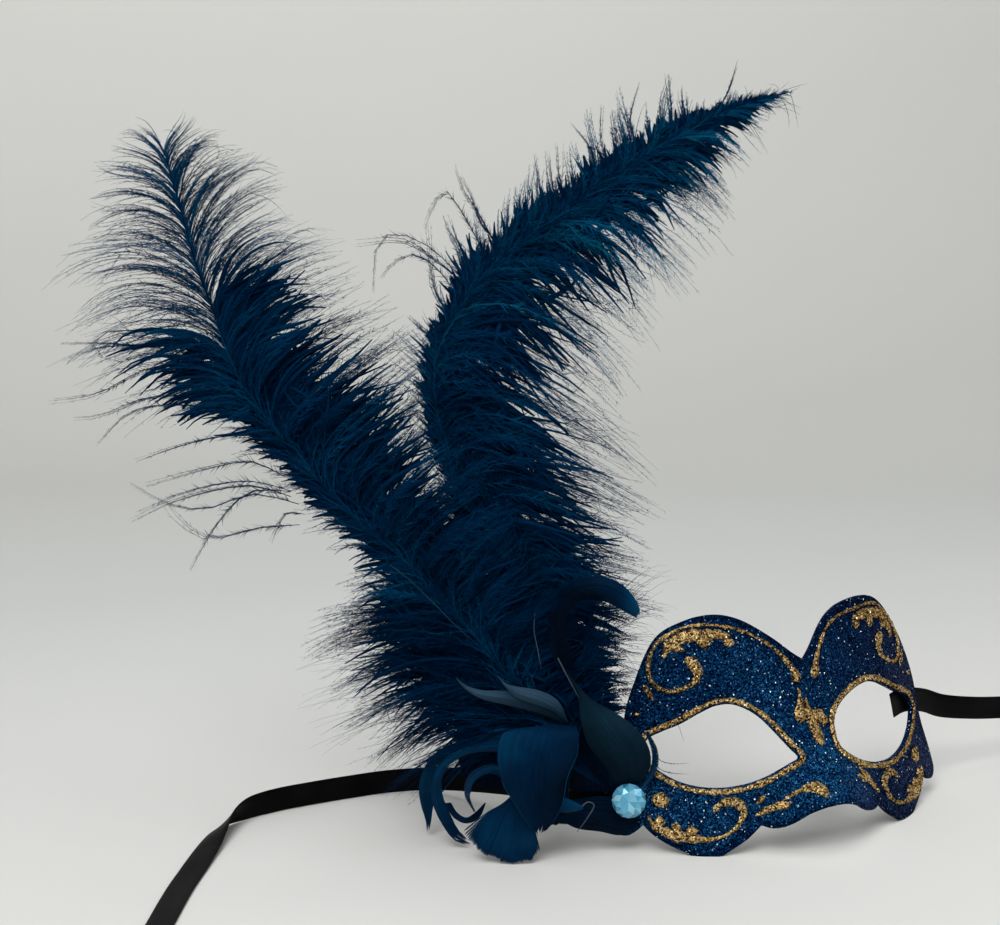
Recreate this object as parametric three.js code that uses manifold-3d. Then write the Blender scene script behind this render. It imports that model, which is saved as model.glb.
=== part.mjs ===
// Half mask with two plumes, a rosette of curled feathers and ribbon ties.
// Millimetres, +Z up. The face looks along -Y and the feathers are at -X.
import * as THREE from 'three';
import Module from 'manifold-3d';

const wasm = await Module();
wasm.setup();

// Shell: plan arc with straight temples, a nose bump and a backward lean.
const PLAN_RADIUS = 106;
const ARC_HALF_LENGTH = 60;
const NOSE_HEIGHT = 13;
const NOSE_WIDTH = 21;
const NOSE_TOP = 37;
const NOSE_FADE = 9;
const LEAN = THREE.MathUtils.degToRad(16.3);
const WALL = 2;
const RINGS = 5;
const EYE_CENTRE = new THREE.Vector2(40, 42);

// The pattern was cut by hand: the left brow is lower at the nose and higher at the temple.
const SKEW = { size: 2.3, inner: 14, innerWidth: 12, outer: 60, outerWidth: 9, from: 66, fade: 5 };

// Gold relief: gap to the face, height of the line and edge margin.
const GAP = 0.3;
const RELIEF = 0.9;
const RIM_MARGIN = 2.1;
const RIM_HALF_WIDTH = 1.4;

// Gem: round, flat back, eight main facets and a table.
const GEM = { u: -77.2, v: 19.1, lift: 4.8, girdle: 6.6, back: 6.3, crown: 5.3, table: 3.5 };
const GEM_HEIGHT = { girdle: 1.4, crown: 3.1, table: 4.2 };
const GEM_SIDES = 16;

// Fan frame: the feathers spread from the left temple in a plane that faces forward and left.
const FAN_ORIGIN = new THREE.Vector3(-86, 42, 0);
const FAN_TURN = THREE.MathUtils.degToRad(-25.3);
const ACROSS = new THREE.Vector3(-Math.cos(FAN_TURN), -Math.sin(FAN_TURN), 0);
const TOWARD = new THREE.Vector3(Math.sin(FAN_TURN), -Math.cos(FAN_TURN), 0);
const UP = new THREE.Vector3(0, 0, 1);

const VANE_THICK = 0.9;
const LOCK_THICK = 0.8;
const RIBBON_WIDTH = 10;
const RIBBON_THICK = 0.8;

const COLOUR = {
  blue: 0x12336b, gold: 0xa8803a, gem: 0x6cc4e0, goose: 0x02304f, plume: 0x032338, black: 0x0a0a0c,
};

// Turns rows of numbers into records with named columns.
function table(columns, rows) {
  const names = columns.split(' ');
  return rows.map((row) => Object.fromEntries(names.map((name, i) => [name, row[i]])));
}

// Outer edge of one half, unrolled, from the brow notch round to the nose: u along the face, v up it.
const EDGE = table('u v', [
  [0, 72.8], [4, 76.3], [11.5, 84], [18, 88.6], [25, 91.6], [33, 93], [39, 92.7], [45, 91.2], [52.5, 87.2],
  [59, 81.6], [64, 75], [68.5, 67.3], [73, 58], [75.5, 50], [76.5, 43], [77, 36], [78.5, 29.5], [82, 21],
  [84.6, 13], [85.2, 9.4], [83.6, 7], [79.6, 6.4], [76, 8.2], [72.8, 10.8], [70, 7.6], [65, 4.2],
  [58.5, 1.2], [53, -0.9], [46, -0.9], [40, 2.2], [34, 6], [30, 9.6], [28, 11.6], [24.5, 10.6],
  [20.5, 11.2], [16, 13.4], [11, 16.6], [5, 18.8], [0, 19.3],
]);

// Stations on the midline between the nose tip and the brow notch.
const MIDLINE = [27, 35.4, 45, 54, 63];

// Eye hole of one half: inner corner, upper lid, outer end, lower lid.
const EYE = table('u v', [
  [10.7, 37.2], [12.9, 40.4], [17.2, 46.4], [22, 52.2], [27.3, 56], [33, 57.9], [39, 57.4], [45.2, 54.8],
  [53.6, 50.3], [61, 47.2], [67, 44], [69.4, 39.4], [67, 34.6], [62.4, 30.9], [57, 28.2], [50, 26.4],
  [43.3, 25.9], [37.5, 26.2], [30, 27.7], [24, 30], [18.3, 33], [14.2, 35.2],
]);

// Height on the cut pattern, with the hand-cut difference between the two brows.
function cut(u, v) {
  const bell = (centre, width) => Math.exp(-(((Math.abs(u) - centre) / width) ** 2));
  const shape = bell(SKEW.inner, SKEW.innerWidth) - bell(SKEW.outer, SKEW.outerWidth);
  return v + (SKEW.size * Math.tanh(u / 5) * shape) / (1 + Math.exp((SKEW.from - v) / SKEW.fade));
}

// Point on the middle of the wall, offset along the outward normal.
function middle(u, w) {
  const v = cut(u, w);
  const reach = Math.abs(u);
  const turn = Math.min(reach, ARC_HALF_LENGTH) / PLAN_RADIUS;
  const straight = Math.max(reach - ARC_HALF_LENGTH, 0);
  const x = PLAN_RADIUS * Math.sin(turn) + straight * Math.cos(turn);
  const bump = Math.exp(-((u / NOSE_WIDTH) ** 2)) / (1 + Math.exp((v - NOSE_TOP) / NOSE_FADE));
  const y = PLAN_RADIUS * (1 - Math.cos(turn)) + straight * Math.sin(turn) - NOSE_HEIGHT * bump;
  return new THREE.Vector3(Math.sign(u) * x, y + v * Math.sin(LEAN), v * Math.cos(LEAN));
}

function onFace(u, v, lift) {
  const step = 0.4;
  const along = middle(u + step, v).sub(middle(u - step, v));
  const upward = middle(u, v + step).sub(middle(u, v - step));
  const normal = along.cross(upward).normalize();
  const point = middle(u, v).addScaledVector(normal, lift);
  if (u === 0) point.x = 0;
  return point;
}

// Closed geometry from corner points and faces; shared corners are joined.
class Skin {
  constructor() {
    this.points = [];
    this.faces = [];
    this.known = new Map();
  }

  corner(p) {
    const key = [p.x, p.y, p.z].map((n) => Math.round(n * 1e4)).join(' ');
    if (!this.known.has(key)) {
      this.known.set(key, this.points.length);
      this.points.push(p);
    }
    return this.known.get(key);
  }

  quad(a, b, c, d) {
    this.face(a, b, c);
    this.face(a, c, d);
  }

  face(a, b, c) {
    if (a !== b && b !== c && c !== a) this.faces.push([a, b, c]);
  }

  volume() {
    const cross = new THREE.Vector3();
    return this.faces.reduce((sum, [a, b, c]) => {
      cross.crossVectors(this.points[b], this.points[c]);
      return sum + this.points[a].dot(cross) / 6;
    }, 0);
  }

  solid() {
    const outward = this.volume() > 0;
    const triVerts = new Uint32Array(this.faces.flatMap(([a, b, c]) => (outward ? [a, b, c] : [a, c, b])));
    const vertProperties = new Float32Array(this.points.flatMap((p) => p.toArray()));
    return { vertProperties, triVerts };
  }
}

function geometryOf({ vertProperties, triVerts }) {
  const geometry = new THREE.BufferGeometry();
  geometry.setAttribute('position', new THREE.BufferAttribute(new Float32Array(vertProperties), 3));
  geometry.setIndex(new THREE.BufferAttribute(new Uint32Array(triVerts), 1));
  geometry.computeVertexNormals();
  return geometry;
}

// Joins overlapping solids of one piece into a single body.
function fuse(solids) {
  const parts = solids.map((s) => new wasm.Manifold(new wasm.Mesh({ numProp: 3, ...s })));
  return parts.reduce((whole, part) => whole.add(part)).getMesh();
}

const group = new THREE.Group();

function place(name, solid, colour, roughness, metalness) {
  const material = new THREE.MeshStandardMaterial({ color: colour, roughness, metalness });
  const mesh = new THREE.Mesh(geometryOf(solid), material);
  mesh.name = name;
  group.add(mesh);
  return mesh;
}

// Point of the eye's edge in a given direction from the eye's centre.
const eyePoints = EYE.map(({ u, v }) => new THREE.Vector3(u, v, 0));
const eyeCurve = new THREE.CatmullRomCurve3(eyePoints, true, 'centripetal');
const eyeLoop = eyeCurve.getPoints(440);

function eyeEdge(target) {
  const ray = target.clone().sub(EYE_CENTRE);
  let best = null;
  for (let i = 0; i + 1 < eyeLoop.length; i += 1) {
    const p = new THREE.Vector2(eyeLoop[i].x, eyeLoop[i].y).sub(EYE_CENTRE);
    const q = new THREE.Vector2(eyeLoop[i + 1].x, eyeLoop[i + 1].y).sub(EYE_CENTRE);
    const side = ray.cross(p);
    const next = ray.cross(q);
    const ahead = ray.dot(p) > 0;
    if (ahead && side * next <= 0 && side !== next) {
      best = p.lerp(q, side / (side - next)).add(EYE_CENTRE);
    }
  }
  return best;
}

// Shell: rings of quads from each eye hole out to the edge, front and back, closed by the rims.
function shell() {
  const skin = new Skin();
  const outer = EDGE.map(({ u, v }) => new THREE.Vector2(u, v));
  const bound = outer.concat(MIDLINE.map((v) => new THREE.Vector2(0, v)));
  const inner = bound.map(eyeEdge);
  const count = bound.length;
  const floorPoint = (u, v, lift) => {
    const p = onFace(u, v, lift);
    p.z = Math.max(p.z, 0);
    return p;
  };
  for (const half of [1, -1]) {
    const grid = [WALL / 2, -WALL / 2].map((lift) => bound.map((b, i) => {
      const column = [];
      for (let ring = 0; ring <= RINGS; ring += 1) {
        const q = inner[i].clone().lerp(b, ring / RINGS);
        column.push(skin.corner(floorPoint(q.x === 0 ? 0 : half * q.x, q.y, lift)));
      }
      return column;
    }));
    const [front, back] = grid;
    const add = (a, b, c, d) => (half > 0 ? skin.quad(a, b, c, d) : skin.quad(d, c, b, a));
    for (let i = 0; i < count; i += 1) {
      const n = (i + 1) % count;
      for (let ring = 0; ring < RINGS; ring += 1) {
        add(front[i][ring], front[n][ring], front[n][ring + 1], front[i][ring + 1]);
        add(back[i][ring + 1], back[n][ring + 1], back[n][ring], back[i][ring]);
      }
      add(back[i][0], back[n][0], front[n][0], front[i][0]);
      if (i < outer.length - 1) add(front[i][RINGS], front[n][RINGS], back[n][RINGS], back[i][RINGS]);
    }
  }
  return skin.solid();
}

// Raised line on the face: rows of u, v and half width, low sides and a flat crest.
function line(rows, closed = false) {
  const skin = new Skin();
  const count = rows.length;
  const low = WALL / 2 + GAP;
  const sections = rows.map((row, i) => {
    const before = rows[closed ? (i + count - 1) % count : Math.max(i - 1, 0)];
    const after = rows[closed ? (i + 1) % count : Math.min(i + 1, count - 1)];
    const side = new THREE.Vector2(before.v - after.v, after.u - before.u).normalize();
    const at = (w, lift) => skin.corner(onFace(row.u + side.x * w, row.v + side.y * w, lift));
    const crest = row.half * 0.5;
    return [at(-row.half, low), at(row.half, low), at(crest, low + RELIEF), at(-crest, low + RELIEF)];
  });
  const last = closed ? count : count - 1;
  for (let i = 0; i < last; i += 1) {
    const s = sections[i];
    const n = sections[(i + 1) % count];
    for (let k = 0; k < 4; k += 1) {
      const m = (k + 1) % 4;
      skin.quad(s[k], s[m], n[m], n[k]);
    }
  }
  if (!closed) {
    const first = sections[0];
    const end = sections[count - 1];
    skin.quad(first[3], first[2], first[1], first[0]);
    skin.quad(end[0], end[1], end[2], end[3]);
  }
  return skin.solid();
}

// Smooth line through rows, with the half width blended along it.
function smooth(rows, steps) {
  const points = rows.map((r) => new THREE.Vector3(r.u, r.v, r.half));
  const path = new THREE.CatmullRomCurve3(points, false, 'centripetal');
  return path.getPoints(steps).map((p) => ({ u: p.x, v: p.y, half: Math.max(p.z, 0.25) }));
}

function flip(rows) {
  return rows.map((r) => ({ ...r, u: -r.u }));
}

function eyeRim(half) {
  const steps = 44;
  const rows = eyeCurve.getPoints(steps).slice(0, steps).map((p, i) => {
    const before = eyeCurve.getPoint(((i + steps - 1) % steps) / steps);
    const after = eyeCurve.getPoint(((i + 1) % steps) / steps);
    const out = new THREE.Vector2(before.y - after.y, after.x - before.x).normalize();
    return { u: half * (p.x + out.x * RIM_MARGIN), v: p.y + out.y * RIM_MARGIN, half: RIM_HALF_WIDTH };
  });
  return line(rows, true);
}

// Brow scroll of one half: line from the nose drop along the brow to the temple curl, and a lobed leaf.
const BROW_LINE = table('u v half', [
  [3.6, 65.6, 0.6], [4.2, 67.6, 1.8], [6.4, 71.2, 1.1], [11.5, 76.8, 1.1], [17.5, 82.2, 1.1],
  [25, 86.4, 1.1], [32, 88.6, 1.1], [38.5, 88.7, 1.1], [45, 87.2, 1.1], [51.5, 83.8, 1.1], [57, 78.8, 1.1],
  [60.6, 73.2, 1.1], [60.4, 67.4, 1.1], [56.4, 63.8, 1.1], [50.6, 63.6, 1.1], [45.8, 66.8, 1.3],
  [43.9, 71.4, 1.9], [45.4, 75, 2.2], [48.4, 76, 0.8],
]);
const BROW_LEAF = table('u v half', [
  [56, 78.2, 0.8], [50.5, 81.2, 2.6], [43, 83.8, 3], [35, 84.2, 3], [27.2, 82.4, 1],
]);
const BROW_LOBES = table('u v du dv half', [
  [50.5, 82, 1.2, -3.4, 2.3], [41.5, 84.4, 1, -4.4, 2.6], [32, 84.6, 1.6, -4.6, 2.3],
]);

// Cheek scroll of one half: hook, tail along the bottom edge and a leaf with lobes.
const CHEEK_LINE = table('u v half', [
  [45.8, 15.4, 0.7], [42.8, 18, 1.8], [38.6, 19, 2.2], [34.8, 17.6, 2], [33.2, 14, 1.5], [34.6, 10.6, 1.1],
  [38.4, 8, 1.1], [44, 6.4, 1.1], [50, 5.4, 1.4], [56, 5.7, 2.1], [62, 7.8, 2.3], [67, 11.4, 1.9],
  [70, 14.6, 0.7],
]);
const CHEEK_LOBES = table('u v du dv half', [
  [54.5, 6.2, -0.6, 3.6, 2.2], [61.5, 8.4, -0.6, 3.8, 2.2], [66.8, 11.8, -0.4, 3.6, 1.8],
]);

// Branches beside the nose; the two halves differ.
const BRANCH_LEFT = [
  table('u v half', [[-29.5, 14.6, 0.6], [-25, 17.8, 1.5], [-20.5, 19.4, 1.8], [-16.4, 20.6, 0.6]]),
  table('u v half', [
    [-24.6, 17, 0.6], [-20.4, 19.8, 0.9], [-16, 22.4, 1], [-10.6, 25, 1.3], [-6.4, 25.6, 2.2],
    [-3.2, 22.6, 0.8],
  ]),
];
const BRANCH_RIGHT = [
  table('u v half', [[18, 28.2, 0.6], [20.4, 24.8, 1.1], [23.8, 20.4, 1.3], [27.6, 16.4, 0.7]]),
];

// Flourish on the nose bridge: stem with a leaf at its foot and a petal each side.
const FLOURISH = [
  table('u v half', [
    [-1.4, 62.5, 0.5], [-0.8, 57, 1.1], [0, 51, 1.4], [0.6, 45.4, 1.9], [1.2, 41.4, 2], [1.4, 38.2, 0.6],
  ]),
  table('u v half', [[-0.2, 47.4, 0.8], [-3.4, 48.8, 2], [-5.4, 51.4, 1.8], [-5.2, 54.6, 0.5]]),
  table('u v half', [[0.4, 45.8, 0.8], [3.4, 47, 1.8], [5.2, 49.4, 1.6], [5.2, 52.6, 0.5]]),
];

const BEADS = table('name u v du dv half', [
  ['temple_bead', 62.6, 59.8, 1.6, -2.4, 1.9], ['rim_bead', 69.6, 53.4, 1.2, -1.8, 1.7],
  ['cheek_bead', 60.6, 20.2, 6, 0.6, 2.8],
]);

function drop({ u, v, du, dv, half }) {
  const rows = table('s w', [[0, 0.4], [0.35, 0.9], [0.75, 1], [1.2, 0.35]]);
  return line(rows.map(({ s, w }) => ({ u: u + du * s, v: v + dv * s, half: half * w })));
}

// Gem: flat back, upright girdle, crown facets and table.
function gem() {
  const skin = new Skin();
  const centre = onFace(GEM.u, GEM.v, GEM.lift);
  const normal = onFace(GEM.u, GEM.v, GEM.lift + 1).sub(centre);
  const turn = new THREE.Quaternion().setFromUnitVectors(UP, normal.normalize());
  const ring = (radius, height, sides, phase) => Array.from({ length: sides }, (_, i) => {
    const angle = ((i + phase) * 2 * Math.PI) / sides;
    const p = new THREE.Vector3(radius * Math.cos(angle), radius * Math.sin(angle), height);
    return skin.corner(p.applyQuaternion(turn).add(centre));
  });
  const mains = GEM_SIDES / 2;
  const back = ring(GEM.back, 0, GEM_SIDES, 0);
  const girdle = ring(GEM.girdle, GEM_HEIGHT.girdle, GEM_SIDES, 0);
  const crown = ring(GEM.crown, GEM_HEIGHT.crown, mains, 0.5);
  const top = ring(GEM.table, GEM_HEIGHT.table, mains, 0);
  for (let i = 0; i < GEM_SIDES; i += 1) {
    const n = (i + 1) % GEM_SIDES;
    skin.quad(back[i], back[n], girdle[n], girdle[i]);
    if (i > 0 && n > 0) skin.face(back[0], back[n], back[i]);
  }
  for (let i = 0; i < mains; i += 1) {
    const n = (i + 1) % mains;
    const g = 2 * i;
    skin.face(girdle[g], girdle[g + 1], crown[i]);
    skin.face(girdle[g + 1], girdle[(g + 2) % GEM_SIDES], crown[i]);
    skin.face(girdle[(g + 2) % GEM_SIDES], crown[n], top[n]);
    skin.face(girdle[(g + 2) % GEM_SIDES], top[n], crown[i]);
    skin.face(crown[i], top[n], top[i]);
    if (i > 0 && n > 0) skin.face(top[0], top[i], top[n]);
  }
  return skin.solid();
}

function fan({ a, t, z }) {
  return FAN_ORIGIN.clone().addScaledVector(ACROSS, a).addScaledVector(TOWARD, t).setZ(z);
}

// Thin curved vane along a shaft: half width and roll vary, the edges are cupped.
function vane(rows, { steps, spans, thick, cup, broadside = true }) {
  const shaft = new THREE.CatmullRomCurve3(rows.map(fan), false, 'centripetal');
  const shape = new THREE.CatmullRomCurve3(rows.map((r) => new THREE.Vector3(r.half, r.roll ?? 0, 0)));
  const skin = new Skin();
  const sections = [];
  for (let i = 0; i <= steps; i += 1) {
    const s = i / steps;
    const centre = shaft.getPoint(s);
    const tangent = shaft.getTangent(s);
    const { x: half, y: roll } = shape.getPoint(s);
    const normal = new THREE.Vector3();
    const width = new THREE.Vector3();
    if (broadside) {
      normal.copy(TOWARD).addScaledVector(tangent, -TOWARD.dot(tangent)).normalize();
      width.crossVectors(tangent, normal);
    } else {
      width.copy(ACROSS).addScaledVector(tangent, -ACROSS.dot(tangent)).normalize();
      normal.crossVectors(width, tangent);
    }
    const turn = new THREE.Quaternion().setFromAxisAngle(tangent, THREE.MathUtils.degToRad(roll));
    width.applyQuaternion(turn);
    normal.applyQuaternion(turn);
    const layer = (lift) => Array.from({ length: spans + 1 }, (_, k) => {
      const w = (2 * k) / spans - 1;
      const p = centre.clone().addScaledVector(width, w * Math.max(half, 0.4));
      return skin.corner(p.addScaledVector(normal, lift - cup * w * w * half));
    });
    sections.push([layer(thick / 2), layer(-thick / 2)]);
  }
  for (let i = 0; i < steps; i += 1) {
    const [top, bottom] = sections[i];
    const [nextTop, nextBottom] = sections[i + 1];
    for (let k = 0; k < spans; k += 1) {
      skin.quad(top[k], top[k + 1], nextTop[k + 1], nextTop[k]);
      skin.quad(nextBottom[k], nextBottom[k + 1], bottom[k + 1], bottom[k]);
    }
    skin.quad(bottom[0], top[0], nextTop[0], nextBottom[0]);
    skin.quad(top[spans], bottom[spans], nextBottom[spans], nextTop[spans]);
  }
  for (const [end, out] of [[sections[0], true], [sections[steps], false]]) {
    const [top, bottom] = end;
    for (let k = 0; k < spans; k += 1) {
      if (out) skin.quad(bottom[k], bottom[k + 1], top[k + 1], top[k]);
      else skin.quad(top[k], top[k + 1], bottom[k + 1], bottom[k]);
    }
  }
  return skin.solid();
}

// Curled feathers: a across, t toward the front, z up, half width and roll along each shaft.
const FEATHERS = {
  front_vane: { cup: 0.05, broadside: false, rows: table('a t z half', [
    [-8.6, 7, 26, 2], [-1, 9.4, 31, 4.6], [5, 9.6, 38, 9], [10.6, 9.6, 44.6, 12], [14.6, 12.5, 48.8, 14],
    [18, 17, 46, 14.6], [20.6, 19.6, 38.6, 14], [22, 20.4, 29.6, 12], [22, 20.2, 20, 8], [19, 20, 11, 1.5],
  ]) },
  floor_fan: { cup: 0.1, rows: table('a t z half', [
    [-3, 9.1, 19.6, 2], [7, 10.8, 18.6, 4.5], [16, 13, 15.6, 8.5], [24, 15, 12.4, 12],
    [28.6, 16.4, 7.8, 12.4], [31, 17.4, 3.2, 6],
  ]) },
  outer_hook: { cup: 0.15, rows: table('a t z half roll', [
    [-5.4, 2.9, 27, 0.8, 20], [2, 0.2, 31.4, 1.6, 30], [13, -2.6, 35.5, 3.4, 40], [28, -4, 39.5, 4.6, 50],
    [42, -4.6, 41.6, 4.8, 50], [54, -5.6, 38, 4.8, 45], [61, -7.4, 28.6, 4.6, 40],
    [62.4, -9.4, 18, 3.8, 40], [60.4, -11, 7.4, 2.6, 40], [57.6, -11.6, 0.5, 0.8, 40],
  ]) },
  inner_hook: { cup: 0.15, rows: table('a t z half roll', [
    [-3.4, 5.8, 28.4, 0.9, 40], [14, 5, 33.4, 2.6, 45], [28, 4.6, 36.6, 3.6, 50], [40, 4.6, 39.4, 3.8, 50],
    [50, 4.6, 35, 3.8, 45], [54, 4.6, 26, 3.8, 40], [52.6, 4.8, 15, 3, 40], [47, 5, 6, 2.2, 30],
    [40.5, 5, 0.9, 0.8, 10],
  ]) },
  small_curl: { cup: 0.15, rows: table('a t z half roll', [
    [5, 8.6, 25.4, 0.8, 50], [15, 9.4, 27.4, 1.8, 55], [27, 9.8, 30.6, 2.4, 60], [36, 10, 34.6, 2.4, 60],
    [43, 10, 31, 2.3, 55], [45, 10, 24, 1.8, 50], [42, 10, 17, 0.6, 50],
  ]) },
  slim_quill_upper: { cup: 0.2, rows: table('a t z half', [
    [4, 2.9, 43.4, 0.8], [8, 5.4, 52, 2], [14, 6.8, 58.8, 2.9], [25, 8, 64, 2.8], [34, 8.6, 70, 0.6],
  ]) },
  slim_quill_lower: { cup: 0.2, rows: table('a t z half', [
    [8.6, 1.7, 48.4, 0.8], [17, 3.2, 56, 2.5], [28, 4.2, 60, 2.8], [42, 4.8, 63, 2.4], [51, 5, 71, 0.6],
  ]) },
  tall_vane: { cup: 0.08, rows: table('a t z half', [
    [-15, 5.2, 21, 2.4], [-14, 5.6, 28, 5], [-12.4, 6.9, 36, 8], [-8, 7.8, 47, 9], [-1, 7.6, 61, 7],
    [4.4, 7.6, 76, 5], [5.6, 8, 89, 4.8], [2.4, 8.8, 99.5, 5], [-5, 10, 104.5, 5.4],
    [-13.6, 11.2, 101, 4.6], [-20, 12, 95, 1],
  ]) },
  eye_crescent: { cup: 0.1, rows: table('a t z half', [
    [-21.4, 8.4, 25.4, 0.6], [-25.6, 8, 30, 1.2], [-28, 7.2, 37, 1.6], [-27, 6.4, 44, 1.3],
    [-23.6, 5.6, 50, 0.6],
  ]) },
  tab_feather: { cup: 0.08, rows: table('a t z half', [
    [-22.6, 8.2, 11.4, 1.2], [-15, 8.1, 10.8, 3.2], [-6, 8.2, 11.4, 4.2], [2, 8.6, 12.2, 3.2],
    [9, 9.2, 11.4, 0.8],
  ]) },
};

// Plumes: shaft rows, then locks by station along the shaft, reach across and rise at the tip.
const PLUMES = {
  plume_left: {
    shaft: table('a t z half', [
      [-9.6, 5, 23.2, 0.9], [-3.6, 4, 31, 1.1], [9, 0.2, 47, 4], [25, -1.6, 64, 8],
      [40, -1, 82, 10], [62, 0, 108, 11], [87, 1, 131, 11], [107, 2, 153, 11], [121, 3, 172, 10],
      [130, 3, 187, 9], [137, 3, 206, 8], [144, 3, 226, 7], [150, 2, 249, 5], [155, 0, 267, 1],
    ]),
    locks: table('at reach rise depth half', [
      [0.95, 16, 4, 2, 2.6], [0.88, 27, 2, -3, 3], [0.81, 36, -3, 4, 3.2], [0.74, 44, -8, -5, 3.4],
      [0.67, 48, -16, 5, 3.4], [0.6, 42, -22, -5, 3.4], [0.95, -15, 8, -2, 2.6], [0.88, -27, 12, 4, 3],
      [0.81, -38, 13, -4, 3.2], [0.74, -47, 14, 6, 3.4], [0.67, -52, 16, -6, 3.4], [0.6, -50, 22, 6, 3.4],
      [0.52, -40, 24, -4, 3.4], [0.44, -34, 22, 5, 3.4], [0.5, 30, -26, 5, 3.2], [0.4, 30, -32, -4, 3.2],
      [0.32, 48, -22, -9, 3.4], [0.28, 64, -14, -16, 3.4], [0.24, 66, -30, -20, 3.4],
      [0.21, 58, -40, -22, 3.2],
    ]),
  },
  plume_right: {
    shaft: table('a t z half', [
      [-17, 3.1, 31, 0.9], [-9, 0.6, 40, 1.1], [1, -4.4, 52, 3], [10, -7.6, 73, 7], [24, -9, 100, 10],
      [44, -10, 136, 11], [55, -10, 163, 11], [57, -10, 186, 10], [49, -10, 208, 10], [36, -10, 224, 9],
      [10, -9, 244, 8], [-12, -8, 260, 7], [-27, -8, 269, 6], [-49, -7, 282, 5], [-76, -6, 292, 1],
    ]),
    locks: table('at reach rise depth half', [
      [0.95, -6, -14, 3, 2.6], [0.89, -3, -26, -4, 3], [0.83, -8, -34, 4, 3.2], [0.77, -16, -40, -5, 3.4],
      [0.71, -26, -44, 5, 3.4], [0.65, -38, -42, -5, 3.4], [0.59, -52, -36, 6, 3.4],
      [0.54, -64, -30, -5, 3.4], [0.49, -70, -24, 6, 3.4], [0.43, -72, -24, -4, 3.4],
      [0.36, -64, -26, 5, 3.4], [0.3, -54, -24, -3, 3.4],
      [0.25, -44, -12, 5, 3.2], [0.95, 4, 9, -3, 2.4], [0.88, 4, 17, 3, 2.6], [0.81, 5, 22, -4, 2.8],
      [0.73, 8, 24, 4, 2.8], [0.64, 18, 22, -4, 2.8], [0.55, 22, 10, 4, 2.8], [0.46, 20, -8, -4, 2.8],
    ]),
  },
};

// One lock leaves the shaft along its own direction, then bends over to its tip.
function lock(shaft, { at, reach, rise, depth, half }) {
  const root = shaft[Math.round(at * (shaft.length - 1))];
  const rows = table('s lift w', [[0, 0, 0.75], [0.35, 0.2, 1], [0.7, 0.12, 0.75], [1, 0, 0.16]]);
  const arch = Math.hypot(reach, rise) * 0.5;
  return rows.map(({ s, lift, w }) => ({
    a: root.a + reach * s, t: root.t + depth * s, z: root.z + rise * s + arch * lift, half: half * w,
  }));
}

function plume({ shaft, locks }) {
  const points = shaft.map(({ a, t, z }) => new THREE.Vector3(a, t, z));
  const spine = new THREE.CatmullRomCurve3(points, false, 'centripetal');
  const stations = spine.getPoints(100).map((p) => ({ a: p.x, t: p.y, z: p.z }));
  const solids = [vane(shaft, { steps: 26, spans: 2, thick: 1.4, cup: 0.04 })];
  for (const row of locks) {
    solids.push(vane(lock(stations, row), { steps: 4, spans: 1, thick: LOCK_THICK, cup: 0 }));
  }
  return fuse(solids);
}

// Ribbon: flat strip on a path; turn 0 stands on edge, 90 lies flat. One end is glued inside the temple.
const GLUE_LIFT = -(WALL / 2 + GAP + RIBBON_THICK / 2 + 0.3);

function glued(rows) {
  return rows.map(({ u, v, turn }) => {
    const { x, y, z } = onFace(u, v, GLUE_LIFT);
    return { x, y, z, turn };
  });
}

const RIBBON_LEFT = [
  ...glued(table('u v turn', [[-64, 21.4, 14], [-71, 21.4, 14], [-79, 21.4, 14]])),
  ...table('x y z turn', [
    [-84, 50, 19.5, 8], [-97, 72, 14.6, 0], [-112, 101, 9.4, 0], [-128, 124, 6, 0], [-150, 132.4, 5.5, 0],
    [-175, 131, 5.5, 0], [-191, 128.4, 5.5, -6], [-201, 122.6, 5.2, -26], [-208, 113, 3.8, -56],
    [-215, 102, 2, -78], [-226, 86, 1, -90], [-240, 65, 0.9, -90], [-260, 34, 0.9, -90],
  ]),
];
const RIBBON_RIGHT = [
  ...glued(table('u v turn', [[55, 40.6, -14], [64, 40.4, -14], [74, 39.6, -14]])),
  ...table('x y z turn', [[80, 42, 35, -10], [92, 44.6, 31.6, -4], [112, 46, 28, 0], [133, 47, 24.6, 0]]),
];

function ribbon(rows, steps) {
  const points = rows.map((r) => new THREE.Vector3(r.x, r.y, r.z));
  const path = new THREE.CatmullRomCurve3(points, false, 'centripetal');
  const turns = new THREE.CatmullRomCurve3(rows.map((r) => new THREE.Vector3(r.turn, 0, 0)));
  const skin = new Skin();
  const sections = [];
  for (let i = 0; i <= steps; i += 1) {
    const s = i / steps;
    const centre = path.getPoint(s);
    const tangent = path.getTangent(s);
    const width = UP.clone().addScaledVector(tangent, -UP.dot(tangent)).normalize();
    const angle = THREE.MathUtils.clamp(turns.getPoint(s).x, -90, 90);
    width.applyAxisAngle(tangent, THREE.MathUtils.degToRad(angle));
    const normal = new THREE.Vector3().crossVectors(tangent, width);
    const at = (w, h) => {
      const p = centre.clone().addScaledVector(width, (w * RIBBON_WIDTH) / 2);
      return skin.corner(p.addScaledVector(normal, (h * RIBBON_THICK) / 2));
    };
    sections.push([at(-1, -1), at(1, -1), at(1, 1), at(-1, 1)]);
  }
  for (let i = 0; i < steps; i += 1) {
    const [s, n] = [sections[i], sections[i + 1]];
    for (let k = 0; k < 4; k += 1) skin.quad(s[k], s[(k + 1) % 4], n[(k + 1) % 4], n[k]);
  }
  const [first, end] = [sections[0], sections[steps]];
  skin.quad(first[3], first[2], first[1], first[0]);
  skin.quad(end[0], end[1], end[2], end[3]);
  return skin.solid();
}

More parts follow.
